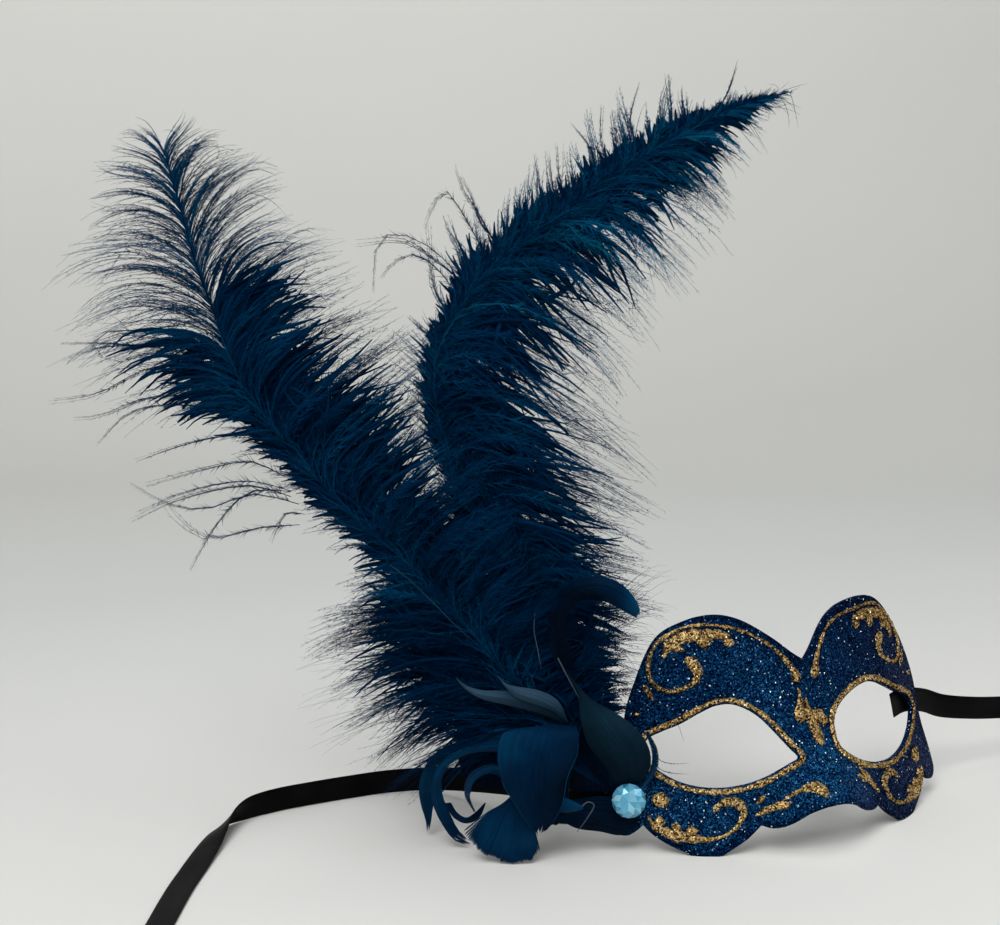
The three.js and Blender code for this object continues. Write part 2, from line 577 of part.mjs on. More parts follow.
place('mask_shell', shell(), COLOUR.blue, 0.45, 0.3);
for (const [side, half] of [['left', -1], ['right', 1]]) {
  const turned = (rows) => (half < 0 ? flip(rows) : rows);
  const gold = (name, solids) => place(`${name}_${side}`, fuse(solids), COLOUR.gold, 0.4, 0.7);
  gold('eye_rim', [eyeRim(half)]);
  const lobes = (rows) => rows.map((r) => drop({ ...r, u: half * r.u, du: half * r.du }));
  gold('brow_scroll', [
    line(smooth(turned(BROW_LINE), 34)), line(smooth(turned(BROW_LEAF), 7)), ...lobes(BROW_LOBES),
  ]);
  gold('cheek_scroll', [line(smooth(turned(CHEEK_LINE), 22)), ...lobes(CHEEK_LOBES)]);
  gold('cheek_branch', (half < 0 ? BRANCH_LEFT : BRANCH_RIGHT).map((rows) => line(smooth(rows, 7))));
  for (const bead of BEADS) gold(bead.name, lobes([bead]));
}
place('centre_flourish', fuse(FLOURISH.map((rows) => line(smooth(rows, 7)))), COLOUR.gold, 0.4, 0.7);
place('gem', gem(), COLOUR.gem, 0.1, 0.1);
for (const [name, { cup, broadside, rows }] of Object.entries(FEATHERS)) {
  const steps = rows.length > 7 ? 14 : 9;
  place(name, vane(rows, { steps, spans: 4, thick: VANE_THICK, cup, broadside }), COLOUR.goose, 0.5, 0);
}
for (const [name, shape] of Object.entries(PLUMES)) place(name, plume(shape), COLOUR.plume, 0.8, 0);
const ribbons = [
  place('ribbon_left', ribbon(RIBBON_LEFT, 40), COLOUR.black, 0.4, 0),
  place('ribbon_right', ribbon(RIBBON_RIGHT, 12), COLOUR.black, 0.4, 0),
];

// The origin is under the middle of the object, the ribbons left out.
const extent = new THREE.Box3();
for (const mesh of group.children) {
  if (!ribbons.includes(mesh)) extent.expandByObject(mesh);
}
const middlePoint = extent.getCenter(new THREE.Vector3());
group.position.set(-middlePoint.x, -middlePoint.y, -extent.min.z);
group.updateMatrixWorld(true);

export default group;
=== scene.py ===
import math

import bpy
import numpy as np
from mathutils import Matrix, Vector


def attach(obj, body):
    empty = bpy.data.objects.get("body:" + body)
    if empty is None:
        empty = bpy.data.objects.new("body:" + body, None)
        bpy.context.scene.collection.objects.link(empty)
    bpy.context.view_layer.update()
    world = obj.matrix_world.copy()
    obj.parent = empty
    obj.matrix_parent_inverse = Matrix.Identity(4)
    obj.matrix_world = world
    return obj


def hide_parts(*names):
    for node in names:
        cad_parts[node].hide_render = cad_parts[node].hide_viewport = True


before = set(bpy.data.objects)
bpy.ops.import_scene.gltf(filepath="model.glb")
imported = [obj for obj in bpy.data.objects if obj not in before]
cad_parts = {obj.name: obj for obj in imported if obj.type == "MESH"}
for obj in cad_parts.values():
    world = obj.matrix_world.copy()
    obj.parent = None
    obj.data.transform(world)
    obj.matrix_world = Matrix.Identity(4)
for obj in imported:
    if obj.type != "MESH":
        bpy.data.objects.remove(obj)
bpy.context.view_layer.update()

# Lengths are in millimetres in the mask's own frame, and SHIFT moves them to the row frame.
# Feathers are given in a fan frame at the temple: a across to photo-left, t toward the viewer, z up.
MM = 0.001
SHIFT = np.array([85.243, -56.805, 0.0])
WALL = 2.0
RELIEF = 1.1
LEAN = math.radians(16.3)
PLAN_RADIUS, ARC_HALF = 106.0, 60.0
NOSE = {"height": 13.0, "width": 21.0, "top": 37.0, "fade": 9.0}
SKEW = {
    "size": 2.3, "inner": 14.0, "inner_width": 12.0, "outer": 60.0, "outer_width": 9.0, "from": 66.0,
    "fade": 5.0,
}
EYE_CENTRE = np.array([40.0, 42.0])
FAN_ORIGIN = np.array([-86.0, 42.0, 0.0])
FAN_TURN = math.radians(-25.3)
ACROSS = np.array([-math.cos(FAN_TURN), -math.sin(FAN_TURN), 0.0])
TOWARD = np.array([math.sin(FAN_TURN), -math.cos(FAN_TURN), 0.0])
UP = np.array([0.0, 0.0, 1.0])
RIBBON_WIDTH, RIBBON_THICK = 10.0, 0.5
FLOOR_GAP = 0.1
FACE_STEP = 0.4

random = np.random.default_rng(41)


# Camera at the photograph's viewing point.
CAMERA = {"place": (-294.86, -561.31, 255.3), "azimuth": -25.31, "down": 9.5, "lens": 60.01, "sensor": 36.0}
camera_data = bpy.data.cameras.new("camera")
camera_data.lens = CAMERA["lens"]
camera_data.sensor_width = CAMERA["sensor"]
camera_data.sensor_fit = "HORIZONTAL"
camera_data.clip_start = 0.01
camera = bpy.data.objects.new("camera", camera_data)
bpy.context.scene.collection.objects.link(camera)
camera.location = Vector(CAMERA["place"]) * MM
camera.rotation_euler = (math.radians(90 - CAMERA["down"]), 0, math.radians(CAMERA["azimuth"]))
bpy.context.scene.camera = camera


# Geometry helpers.
def unit(v):
    return v / np.maximum(np.linalg.norm(v, axis=-1, keepdims=True), 1e-9)


def catmull(rows, count, closed=False):
    """Centripetal curve through rows, sampled evenly per row."""
    pts = np.asarray(rows, float)
    n = len(pts)
    spans = n if closed else n - 1
    out = []
    for t in np.linspace(0, spans, count, endpoint=not closed):
        i = min(int(t), spans - 1)
        w = t - i
        p1, p2 = pts[i % n], pts[(i + 1) % n]
        p0 = pts[i - 1] if closed or i > 0 else 2 * p1 - p2
        p3 = pts[(i + 2) % n] if closed or i + 2 < n else 2 * p2 - p1
        d0, d1, d2 = (max(np.linalg.norm(b - a) ** 0.5, 1e-4) for a, b in ((p0, p1), (p1, p2), (p2, p3)))
        m1 = d1 * ((p1 - p0) / d0 - (p2 - p0) / (d0 + d1) + (p2 - p1) / d1)
        m2 = d1 * ((p2 - p1) / d1 - (p3 - p1) / (d1 + d2) + (p3 - p2) / d2)
        a, b = 2 * p1 - 2 * p2 + m1 + m2, -3 * p1 + 3 * p2 - 2 * m1 - m2
        out.append(a * w ** 3 + b * w ** 2 + m1 * w + p1)
    return np.array(out)


def along(curve):
    """Distance along a polyline at each of its points."""
    return np.r_[0, np.cumsum(np.linalg.norm(np.diff(curve, axis=0), axis=1))]


def spaced(curve, count):
    """Polyline resampled at even distances."""
    d = along(curve)
    at = np.linspace(0, d[-1], count)
    return np.array([np.interp(at, d, curve[:, k]) for k in range(curve.shape[1])]).T


def lookup(table, x):
    """Value at x in a table of rows of x and value."""
    return np.interp(x, *np.array(table, float).T)


def along_all(curves):
    """Length of each strand."""
    return np.linalg.norm(np.diff(curves, axis=1), axis=2).sum(axis=1)


def above_floor(points):
    points = points.copy()
    points[:, 2] = np.maximum(points[:, 2], FLOOR_GAP)
    return points


def fan(atz):
    """Point of the fan frame in the mask's frame."""
    atz = np.asarray(atz, float)
    return FAN_ORIGIN + atz[..., :1] * ACROSS + atz[..., 1:2] * TOWARD + atz[..., 2:3] * UP


def middle(u, w):
    """Point on the middle of the mask's wall: u along the face, w up it."""
    u, w = np.asarray(u, float), np.asarray(w, float)
    reach = np.abs(u)
    shape = np.exp(-((reach - SKEW["inner"]) / SKEW["inner_width"]) ** 2)
    shape = shape - np.exp(-((reach - SKEW["outer"]) / SKEW["outer_width"]) ** 2)
    v = w + SKEW["size"] * np.tanh(u / 5) * shape / (1 + np.exp((SKEW["from"] - w) / SKEW["fade"]))
    turn = np.minimum(reach, ARC_HALF) / PLAN_RADIUS
    straight = np.maximum(reach - ARC_HALF, 0)
    x = PLAN_RADIUS * np.sin(turn) + straight * np.cos(turn)
    bump = np.exp(-(u / NOSE["width"]) ** 2) / (1 + np.exp((v - NOSE["top"]) / NOSE["fade"]))
    y = PLAN_RADIUS * (1 - np.cos(turn)) + straight * np.sin(turn) - NOSE["height"] * bump
    return np.stack([np.sign(u) * x, y + v * math.sin(LEAN), v * math.cos(LEAN)], axis=-1)


def on_face(u, v, lift):
    """Point at a height above the middle of the wall."""
    u, v = np.asarray(u, float), np.asarray(v, float)
    normal = np.cross(middle(u + FACE_STEP, v) - middle(u - FACE_STEP, v),
                      middle(u, v + FACE_STEP) - middle(u, v - FACE_STEP))
    return middle(u, v) + unit(normal) * np.asarray(lift)[..., None]


def mesh_object(name, verts, faces, materials, index=None, smooth=True):
    """Object from points in millimetres and equal-sided faces (all triangles or all quads)."""
    verts, faces = np.asarray(verts, float), np.asarray(faces, int)
    sides = faces.shape[1]
    me = bpy.data.meshes.new(name)
    me.vertices.add(len(verts))
    me.vertices.foreach_set("co", ((verts + SHIFT) * MM).astype(np.float32).ravel())
    me.loops.add(faces.size)
    me.loops.foreach_set("vertex_index", faces.astype(np.int32).ravel())
    me.polygons.add(len(faces))
    me.polygons.foreach_set("loop_start", np.arange(0, faces.size, sides, dtype=np.int32))
    for m in materials if isinstance(materials, (list, tuple)) else [materials]:
        me.materials.append(m)
    if index is not None:
        me.polygons.foreach_set("material_index", np.asarray(index, np.int32))
    me.update(calc_edges=True)
    me.validate()
    me.polygons.foreach_set("use_smooth", np.full(len(me.polygons), smooth))
    obj = bpy.data.objects.new(name, me)
    bpy.context.scene.collection.objects.link(obj)
    return obj


def settle(obj, slot, *nodes):
    """Puts a piece on the part's body, in place of CAD nodes."""
    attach(obj, "root")
    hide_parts(*nodes)


def store(obj, name, domain, values):
    """Keeps values on the mesh for its material."""
    layer = obj.data.attributes.new(name, "FLOAT", domain)
    layer.data.foreach_set("value", np.asarray(values, np.float32).ravel())


def surface(points, closed_rows=False, closed_columns=True):
    """Verts and quads of a grid of points."""
    rows, columns = points.shape[:2]
    i = np.arange(rows if closed_rows else rows - 1)
    j = np.arange(columns if closed_columns else columns - 1)
    i, j = np.meshgrid(i, j, indexing="ij")
    n, m = (i + 1) % rows, (j + 1) % columns
    quads = np.stack([i * columns + j, i * columns + m, n * columns + m, n * columns + j], axis=-1)
    return points.reshape(-1, 3), quads.reshape(-1, 4)


def joined(parts):
    """One set of verts and faces from several."""
    starts = np.cumsum([0] + [len(verts) for verts, _ in parts])
    faces = [part[1] + start for part, start in zip(parts, starts)]
    return np.concatenate([verts for verts, _ in parts]), np.concatenate(faces)


def tube(path, width, normal, radius, sides, flat=1.0):
    """Closed tube along a path; flat is its size along the normal, as a share of that along the width."""
    angle = np.linspace(0, 2 * math.pi, sides, endpoint=False)[None, :, None]
    out = np.cos(angle) * width[:, None] + flat * np.sin(angle) * normal[:, None]
    return surface(path[:, None] + radius[:, None, None] * out)


# Materials.
FINE_NOISE = 900


class Nodes:
    """Principled material with a few short ways to add nodes."""

    def __init__(self, name, **sockets):
        self.material = bpy.data.materials.new(name)
        self.material.use_nodes = True
        self.tree = self.material.node_tree
        self.shader = self.tree.nodes["Principled BSDF"]
        for key, value in sockets.items():
            self.shader.inputs[key.replace("_", " ")].default_value = value

    def add(self, kind, **values):
        node = self.tree.nodes.new("ShaderNode" + kind)
        for key, value in values.items():
            if hasattr(node, key):
                setattr(node, key, value)
            else:
                node.inputs[key.replace("_", " ")].default_value = value
        return node

    def link(self, source, target):
        self.tree.links.new(source, target)

    def place(self):
        return self.add("TexCoord").outputs["Object"]

    def noise(self, scale, detail=2.0):
        node = self.add("TexNoise", Scale=scale, Detail=detail)
        self.link(self.place(), node.inputs["Vector"])
        return node.outputs["Fac"]

    def ramp(self, source, stops, interpolation="LINEAR"):
        node = self.add("ValToRGB")
        node.color_ramp.interpolation = interpolation
        while len(node.color_ramp.elements) < len(stops):
            node.color_ramp.elements.new(0.5)
        for element, (at, colour) in zip(node.color_ramp.elements, stops):
            element.position = at
            element.color = (*colour, 1)
        self.link(source, node.inputs["Fac"])
        return node.outputs["Color"]

    def bump(self, height, strength, distance):
        node = self.add("Bump", Strength=strength, Distance=distance)
        self.link(height, node.inputs["Height"])
        self.link(node.outputs["Normal"], self.shader.inputs["Normal"])

    def combine(self, kind, operation, *sources, **values):
        """Result of a maths node whose inputs are sockets or plain values."""
        node = self.add(kind, operation=operation, **values)
        for source, target in zip(sources, node.inputs):
            if isinstance(source, bpy.types.NodeSocket):
                self.link(source, target)
            else:
                target.default_value = source
        return node.outputs[0]

    def range(self, source, low, high):
        node = self.add("MapRange", To_Min=low, To_Max=high)
        self.link(source, node.inputs["Value"])
        return node.outputs["Result"]

    def stored(self, attribute, scale, detail, swing):
        """A value stored on the mesh, plus noise."""
        value = self.add("Attribute", attribute_name=attribute).outputs["Fac"]
        return self.combine("Math", "ADD", value, self.range(self.noise(scale, detail), -swing, swing))

    def colour(self, source, stops):
        self.link(self.ramp(source, stops), self.shader.inputs["Base Color"])

    def roughness(self, low, high):
        self.link(self.range(self.noise(FINE_NOISE), low, high), self.shader.inputs["Roughness"])


def glitter(name, flake, stops, tilt, metallic, roughness, edge, painted_glints):
    """Small flakes, each with its own colour and its own tilt; a few get pale base colours as painted glints.
    """
    n = Nodes(name, Metallic=metallic, Roughness=roughness, Specular_IOR_Level=0.03, Specular_Tint=(*edge, 1))
    cells = n.add("TexVoronoi", Scale=1 / (flake * MM))
    n.link(n.place(), cells.inputs["Vector"])
    split = n.add("SeparateColor")
    n.link(cells.outputs["Color"], split.inputs["Color"])
    # The stored drift holds painted light and shade on the mask.
    total = n.combine("Math", "ADD", split.outputs["Red"], n.stored("drift", 28, 3, 0.25))
    lit = n.add("Mix", data_type="RGBA", blend_type="LIGHTEN", Factor=1.0)
    n.link(n.ramp(total, stops), lit.inputs[6])
    # A few flakes get pale base colours from this ramp: painted glints.
    n.link(n.ramp(split.outputs["Green"], [(0.0, (0, 0, 0)), *painted_glints], "CONSTANT"), lit.inputs[7])
    n.link(lit.outputs[2], n.shader.inputs["Base Color"])
    centred = n.combine("VectorMath", "SUBTRACT", cells.outputs["Color"], (0.5, 0.5, 0.5))
    leaning = n.combine("VectorMath", "SCALE", centred, Scale=tilt)
    turned = n.combine("VectorMath", "ADD", n.add("NewGeometry").outputs["Normal"], leaning)
    n.link(n.combine("VectorMath", "NORMALIZE", turned), n.shader.inputs["Normal"])
    return n.material


# The last list of each glitter holds its painted glints.
blue_glitter = glitter("blue_glitter", 0.46, [
    (0.0, (0.0002, 0.001, 0.006)), (0.4, (0.0008, 0.008, 0.034)), (0.75, (0.003, 0.036, 0.115)),
    (1.0, (0.02, 0.16, 0.36)),
], 1.1, 0.3, 0.4, (0.1, 0.35, 0.8), [(0.975, (0.07, 0.22, 0.42)), (0.991, (0.8, 0.9, 1.0))])
gold_glitter = glitter("gold_glitter", 0.55, [
    (0.0, (0.006, 0.004, 0.004)), (0.28, (0.05, 0.026, 0.013)), (0.5, (0.25, 0.14, 0.045)),
    (0.75, (0.62, 0.41, 0.145)), (1.0, (1.0, 0.8, 0.42)),
], 1.4, 0.7, 0.34, (1.0, 0.8, 0.5), [(0.95, (0.95, 0.72, 0.36)), (0.98, (1.0, 0.93, 0.85))])


FEATHER_GLEAM = (0.1, 0.5, 1.0, 1)


def feather_material(name, dark, light, rough, shine):
    n = Nodes(name, Specular_IOR_Level=shine, Specular_Tint=FEATHER_GLEAM)
    n.colour(n.noise(70, 3), [(0.32, dark), (0.68, light)])
    n.roughness(rough - 0.12, rough + 0.12)
    return n.material


def plume_material():
    """Colour by the tone stored on each barb, which holds painted shade, with a slow drift over the plume."""
    n = Nodes("plume_blue", Specular_IOR_Level=0.03, Specular_Tint=FEATHER_GLEAM)
    n.colour(n.stored("tone", 45, 3, 0.35), [
        (0.0, (0.0001, 0.007, 0.028)), (0.5, (0.0003, 0.027, 0.082)), (0.85, (0.0008, 0.064, 0.155)),
        (1.0, (0.003, 0.11, 0.21))])
    n.roughness(0.5, 0.75)
    return n.material


def satin_vane(name, stops, shine):
    """Colour by the tone stored along each barb, which holds painted light and shade."""
    n = Nodes(name, Specular_IOR_Level=shine, Specular_Tint=FEATHER_GLEAM)
    n.colour(n.stored("tone", 120, 3, 0.2), list(zip((0.0, 0.5, 1.0), stops)))
    n.roughness(0.34, 0.52)
    return n.material


plume_blue = plume_material()
goose_blue = feather_material("goose_blue", (0.0004, 0.011, 0.036), (0.001, 0.024, 0.066), 0.42, 0.2)
quill_grey = feather_material("quill_grey", (0.002, 0.02, 0.045), (0.012, 0.045, 0.08), 0.4, 0.2)
quill_blue = feather_material("quill_blue", (0.001, 0.025, 0.06), (0.002, 0.045, 0.1), 0.5, 0.1)
shaft_dark = feather_material("shaft_dark", (0.0008, 0.004, 0.01), (0.003, 0.012, 0.022), 0.4, 0.1)


quill_pale = feather_material("quill_pale", (0.03, 0.035, 0.045), (0.09, 0.1, 0.115), 0.45, 0.3)
SATINS = {
    "satin": satin_vane(
        "satin_vane", [(0.0001, 0.0016, 0.007), (0.0004, 0.014, 0.045), (0.0014, 0.05, 0.115)], 0.1),
    "teal": satin_vane(
        "teal_vane", [(0.0003, 0.0025, 0.007), (0.0012, 0.008, 0.016), (0.007, 0.026, 0.04)], 0.15),
    "pale": satin_vane(
        "pale_vane", [(0.002, 0.009, 0.02), (0.011, 0.03, 0.052), (0.034, 0.07, 0.11)], 0.2),
}


def satin_material():
    n = Nodes("ribbon_satin", Roughness=0.36, Anisotropic=0.5, Specular_IOR_Level=0.03)
    weave = n.add("TexWave", Scale=900.0, Distortion=0.6, wave_type="BANDS", bands_direction="DIAGONAL")
    n.link(n.place(), weave.inputs["Vector"])
    n.colour(n.noise(60, 3), [(0.3, (0.001, 0.001, 0.0013)), (0.7, (0.004, 0.004, 0.005))])
    n.bump(weave.outputs["Fac"], 0.25, 0.00005)
    return n.material


def inside_material():
    n = Nodes("mask_inside", Roughness=0.75, Specular_IOR_Level=0.15)
    n.colour(n.noise(500, 4), [(0.3, (0.006, 0.008, 0.014)), (0.7, (0.022, 0.026, 0.038))])
    n.bump(n.noise(1500, 3), 0.35, 0.0002)
    return n.material


def gem_material():
    n = Nodes("gem_aqua", Roughness=0.12, Metallic=0.2, Coat_Weight=0.3, Coat_Roughness=0.03)
    # Light and dark facets: painted reflections of light inside the stone.
    n.colour(n.add("Attribute", attribute_name="facet_light").outputs["Fac"], [
        (0.0, (0.006, 0.07, 0.14)), (0.3, (0.05, 0.26, 0.42)), (0.65, (0.14, 0.46, 0.66)),
        (0.95, (0.42, 0.76, 0.9))])
    return n.material


ribbon_satin = satin_material()
mask_inside = inside_material()
gem_aqua = gem_material()


# Ribbons: flat satin strips, glued inside the temples. A row is a point and a turn about the route,
# in degrees.
GLUE_GAP = 1.0
GLUE_LIFT = -(WALL / 2 + GLUE_GAP)


def glued(rows):
    return [(*on_face(u, v, GLUE_LIFT), turn) for u, v, turn in rows]


RIBBON_LEFT = glued([(-64, 21.4, 14), (-71, 21.4, 14), (-79, 21.4, 14)]) + [
    (-84, 50, 19.5, 8), (-94, 74, 14.6, 0), (-104, 100, 9.4, 0), (-117, 119, 6, 0), (-134, 125.4, 5.4, 0),
    (-151.5, 126.6, 5.3, 0), (-168, 126.4, 5.3, 0), (-183, 125.4, 5.3, 0), (-196, 122, 5.3, -8),
    (-206, 116, 5, -34), (-212.4, 109, 3.9, -58), (-220, 98, 2, -80), (-230, 82, 1, -90),
    (-240, 65.4, 0.9, -90), (-258, 31.6, 0.9, -90),
]
RIBBON_RIGHT = glued([(55, 43.8, -14), (64, 43.4, -14), (74, 41.6, -14)]) + [
    (80, 42, 36, -10), (92, 44.6, 31.2, -4), (112, 46, 27, 0), (133, 47, 24.2, 0),
]


def ribbon(name, rows, count, node):
    """Strip with softly hollowed faces and thicker edges; it takes the place of the ribbon's CAD node."""
    rows = np.array(rows, float)
    path = catmull(rows[:, :3], count)
    turns = np.radians(np.clip(catmull(np.c_[rows[:, 3], rows[:, 3] * 0], count)[:, 0], -90, 90))
    tangent = unit(np.gradient(path, axis=0))
    width = unit(UP - (tangent @ UP)[:, None] * tangent)
    side = np.cross(tangent, width)
    width = width * np.cos(turns)[:, None] + side * np.sin(turns)[:, None]
    normal = np.cross(tangent, width)
    half, thick = RIBBON_WIDTH / 2, RIBBON_THICK / 2
    lower = [(-1, -0.6), (-0.97, -1), (-0.5, -0.75), (0, -0.7), (0.5, -0.75), (0.97, -1), (1, -0.6)]
    ring = lower + [(w, -h) for w, h in lower[::-1]]
    points = np.stack([path + width * w * half + normal * h * thick for w, h in ring], axis=1)
    verts, quads = surface(points)
    caps = []
    for base, flip in ((0, False), ((count - 1) * len(ring), True)):
        for k in range(len(ring) // 2 - 1):
            cap = [base + k, base + k + 1, base + len(ring) - 2 - k, base + len(ring) - 1 - k]
            caps.append(cap[::-1] if flip else cap)
    obj = mesh_object(name, verts, np.concatenate([quads, caps]), ribbon_satin)
    settle(obj, "ribbon", node)


ribbon("ribbon_left_satin", RIBBON_LEFT, 150, "ribbon_left")
ribbon("ribbon_right_satin", RIBBON_RIGHT, 60, "ribbon_right")


# Mask: smooth outline, rings from each eye hole to the edge, rounded rims.
EDGE = [[
    (0, 72.8), (4, 76.3), (11.5, 84), (18, 88.6), (25, 91.6), (33, 93), (39, 92.7), (45, 91.2),
    (52.5, 87.2), (59, 81.6), (64, 75), (68.5, 67.3), (73, 58), (75.5, 50), (76.5, 43), (77, 36),
    (78.5, 29.5), (82, 21), (84.6, 13), (85.2, 9.4), (83.6, 7), (79.6, 6.4), (76, 8.2), (72.8, 10.8),
], [
    (72.8, 10.8), (70, 7.6), (65, 4.2), (58.5, 1.2), (53, -0.9), (46, -0.9), (40, 2.2), (34, 6), (30, 9.6),
    (28, 11.6),
], [
    (28, 11.6), (24.5, 10.6), (20.5, 11.2), (16, 13.4), (11, 16.6), (5, 18.8), (0, 19.3),
]]
EYE = [
    (10.7, 37.2), (12.9, 40.4), (17.2, 46.4), (22, 52.2), (27.3, 56), (33, 57.9), (39, 57.4), (45.2, 54.8),
    (53.6, 50.3), (61, 47.2), (67, 44), (69.4, 39.4), (67, 34.6), (62.4, 30.9), (57, 28.2), (50, 26.4),
    (43.3, 25.9), (37.5, 26.2), (30, 27.7), (24, 30), (18.3, 33), (14.2, 35.2),
]
EYE_RIGHT = [
    (8.4, 40.4), (8.5, 44), (9.3, 47.4), (11.4, 50.6), (15.6, 53.8), (21.9, 56.6), (28, 58.2), (33, 58.5),
    (39, 57.2), (45.2, 54.4), *EYE[8:15], (50, 26.3), (43.3, 25.5), (37.5, 25.8), (30, 27.2), (24, 29.2),
    (17.5, 32.2), (12.2, 35.6), (9.4, 38.2),
]
EYE_LOOPS = {-1: catmull(EYE, 1200, closed=True), 1: catmull(EYE_RIGHT, 1200, closed=True)}


def eye_edge(points, half):
    """Point of an eye hole's edge in the direction of each outer point."""
    loop = EYE_LOOPS[half] - EYE_CENTRE
    angle = np.unwrap(np.arctan2(loop[:, 1], loop[:, 0]))
    order = np.argsort(angle)
    ray = points - EYE_CENTRE
    want = np.arctan2(ray[:, 1], ray[:, 0])
    found = [np.interp(want, angle[order], loop[order, k], period=2 * math.pi) for k in (0, 1)]
    return np.array(found).T + EYE_CENTRE


def wall_profile(gap, rounding=0.35):
    """Share of the way from eye hole to edge, and share of the half wall, round the section of the shell."""
    steps = np.linspace(0, 1, 16)
    near, none = 0.3 * rounding / gap, 0 * gap
    across = lambda f: (rounding + f * (gap - 2 * rounding)) / gap
    high, mid = 1 - rounding, 1 - 0.3 * rounding
    profile = [(none, 0.0), (none, high), (near, mid)]
    profile += [(across(f), 1.0) for f in steps]
    profile += [(1 - near, mid), (1 - none, high), (1 - none, 0.0), (1 - none, -high), (1 - near, -mid)]
    profile += [(across(f), -1.0) for f in steps[::-1]]
    return profile + [(near, -mid), (none, -high)]


# Columns of the wall's section: the last of the front, the first and last of the back.
FRONT_END, BACK_FROM, BACK_TO = 18, 24, 39
# Columns that meet the other half on the seam, and their share of the half wall there.
JOINED = {FRONT_END: 1.0, FRONT_END + 1: 0.9, BACK_FROM - 1: -0.9, BACK_FROM: -1.0}
EDGE_COUNTS, SEAM_COUNT = (150, 70, 40), 46
# Painted light and shade on the glitter: lighter on the nose, and darker along the edge and on the far side.
MASK_LIGHT_AND_SHADE = {"base": -0.09, "nose": 0.13, "edge": -0.22, "edge_width": 2.2, "side": -0.14}
NOSE_LIGHT_PATCH = {"half": 26, "centre": 30, "height": 18}
FAR_SIDE_SHADE = {"from": 14, "fade": 20}


def mask():
    """Both halves as one closed shell, welded along the centre seam."""
    outer = np.concatenate([spaced(catmull(part, 400), count)[:-1] for part, count in zip(EDGE, EDGE_COUNTS)])
    centre = np.c_[np.zeros(SEAM_COUNT), np.linspace(EDGE[-1][-1][1], EDGE[0][0][1], SEAM_COUNT)][:-1]
    bound = np.concatenate([outer, centre])
    seam = np.r_[0, np.arange(len(outer), len(bound))]
    halves, inside, edge_shade = [], [], []
    for half in (1, -1):
        inner = eye_edge(bound, half)
        gap = np.linalg.norm(bound - inner, axis=1)[:, None]
        profile = wall_profile(gap)
        columns = len(profile)
        points = []
        for column, (f, lift) in enumerate(profile):
            f, lift = f * np.ones((len(bound), 1)), np.full(len(bound), lift)
            if column in JOINED:
                f[seam], lift[seam] = 1.0, JOINED[column]
            q = inner + (bound - inner) * f
            p = on_face(half * q[:, 0], q[:, 1], lift * WALL / 2)
            p[:, 2] = np.maximum(p[:, 2], 0)
            points.append(p)
        verts, quads = surface(np.stack(points, axis=1), closed_rows=True)
        back = np.tile(np.arange(columns), len(bound))
        rim = np.repeat(np.arange(len(bound)), columns)
        outer_wall = (back >= FRONT_END) & (back < BACK_FROM)
        keep = ~((rim >= len(outer)) & outer_wall)
        halves.append((verts, (quads if half < 0 else quads[:, ::-1])[keep]))
        inside.append(((back >= BACK_FROM - 1) & (back <= BACK_TO))[keep])
        edge = np.exp(-np.concatenate([(1 - f) * gap / MASK_LIGHT_AND_SHADE["edge_width"] for f, _ in profile], axis=1))
        edge_shade.append(np.where(np.arange(len(bound))[:, None] < len(outer), edge, 0).ravel())
    verts, faces = joined(halves)
    _, first, same = np.unique(np.round(verts, 4), axis=0, return_index=True, return_inverse=True)
    verts, faces = verts[first], same.ravel()[faces]
    index = np.concatenate(inside).astype(int)
    obj = mesh_object("mask_face", verts, faces, [blue_glitter, mask_inside], index)
    x, z = verts[:, 0], verts[:, 2]
    # Painted light on the nose; painted shade along the edge and on the far side.
    nose = np.exp(-(x / NOSE_LIGHT_PATCH["half"]) ** 2 - ((z - NOSE_LIGHT_PATCH["centre"]) / NOSE_LIGHT_PATCH["height"]) ** 2)
    side = np.clip((x - FAR_SIDE_SHADE["from"]) / FAR_SIDE_SHADE["fade"], 0, 1)
    drift = MASK_LIGHT_AND_SHADE["nose"] * nose + MASK_LIGHT_AND_SHADE["base"] + MASK_LIGHT_AND_SHADE["edge"] * np.concatenate(edge_shade)[first]
    store(obj, "drift", "POINT", drift + MASK_LIGHT_AND_SHADE["side"] * side)
    settle(obj, "shell", "mask_shell")


mask()

# Gold relief: domed lines of dried glitter on the face, as rows of u, v and half width.
RELIEF_STEP, RELIEF_GRAIN = 0.45, 0.32
SUNK_EDGE, SUNK_BASE = 0.15, 0.3
BROW_LINE = [
    (3.8, 64.6, 1.3), (4.6, 67.4, 1.9), (5.8, 70.8, 1.4), (8.4, 75.2, 1), (13.2, 81.2, 0.8),
    (19.2, 85, 0.65), (25.4, 87.2, 0.65), (33.2, 88.6, 0.65), (40.6, 89, 0.65), (47, 87.8, 0.7),
    (54.6, 83, 0.8), (59.4, 78.6, 0.8), (62.4, 73.2, 0.8), (63.2, 68, 0.8), (61, 63.9, 0.75),
    (55.8, 62.4, 0.75), (50, 64.2, 0.8), (45.2, 67.4, 1.2), (44.4, 71.4, 2.2), (46.2, 74.2, 2.5),
    (48.6, 75.4, 1.2),
]
BROW_LEAF = [
    (57, 73.6, 0.5), (55, 77.8, 1.4), (51, 82, 2.2), (45.3, 84.6, 2.3), (39.4, 85, 2.2), (33.6, 85.2, 1.8),
    (29, 84, 1.1),
]
BROW_LOBES = [(51.6, 81.6, 0.6, -3.6, 3), (40.2, 84.6, 0.2, -4.4, 2.2), (31, 84.4, -0.6, -3.6, 2.4)]
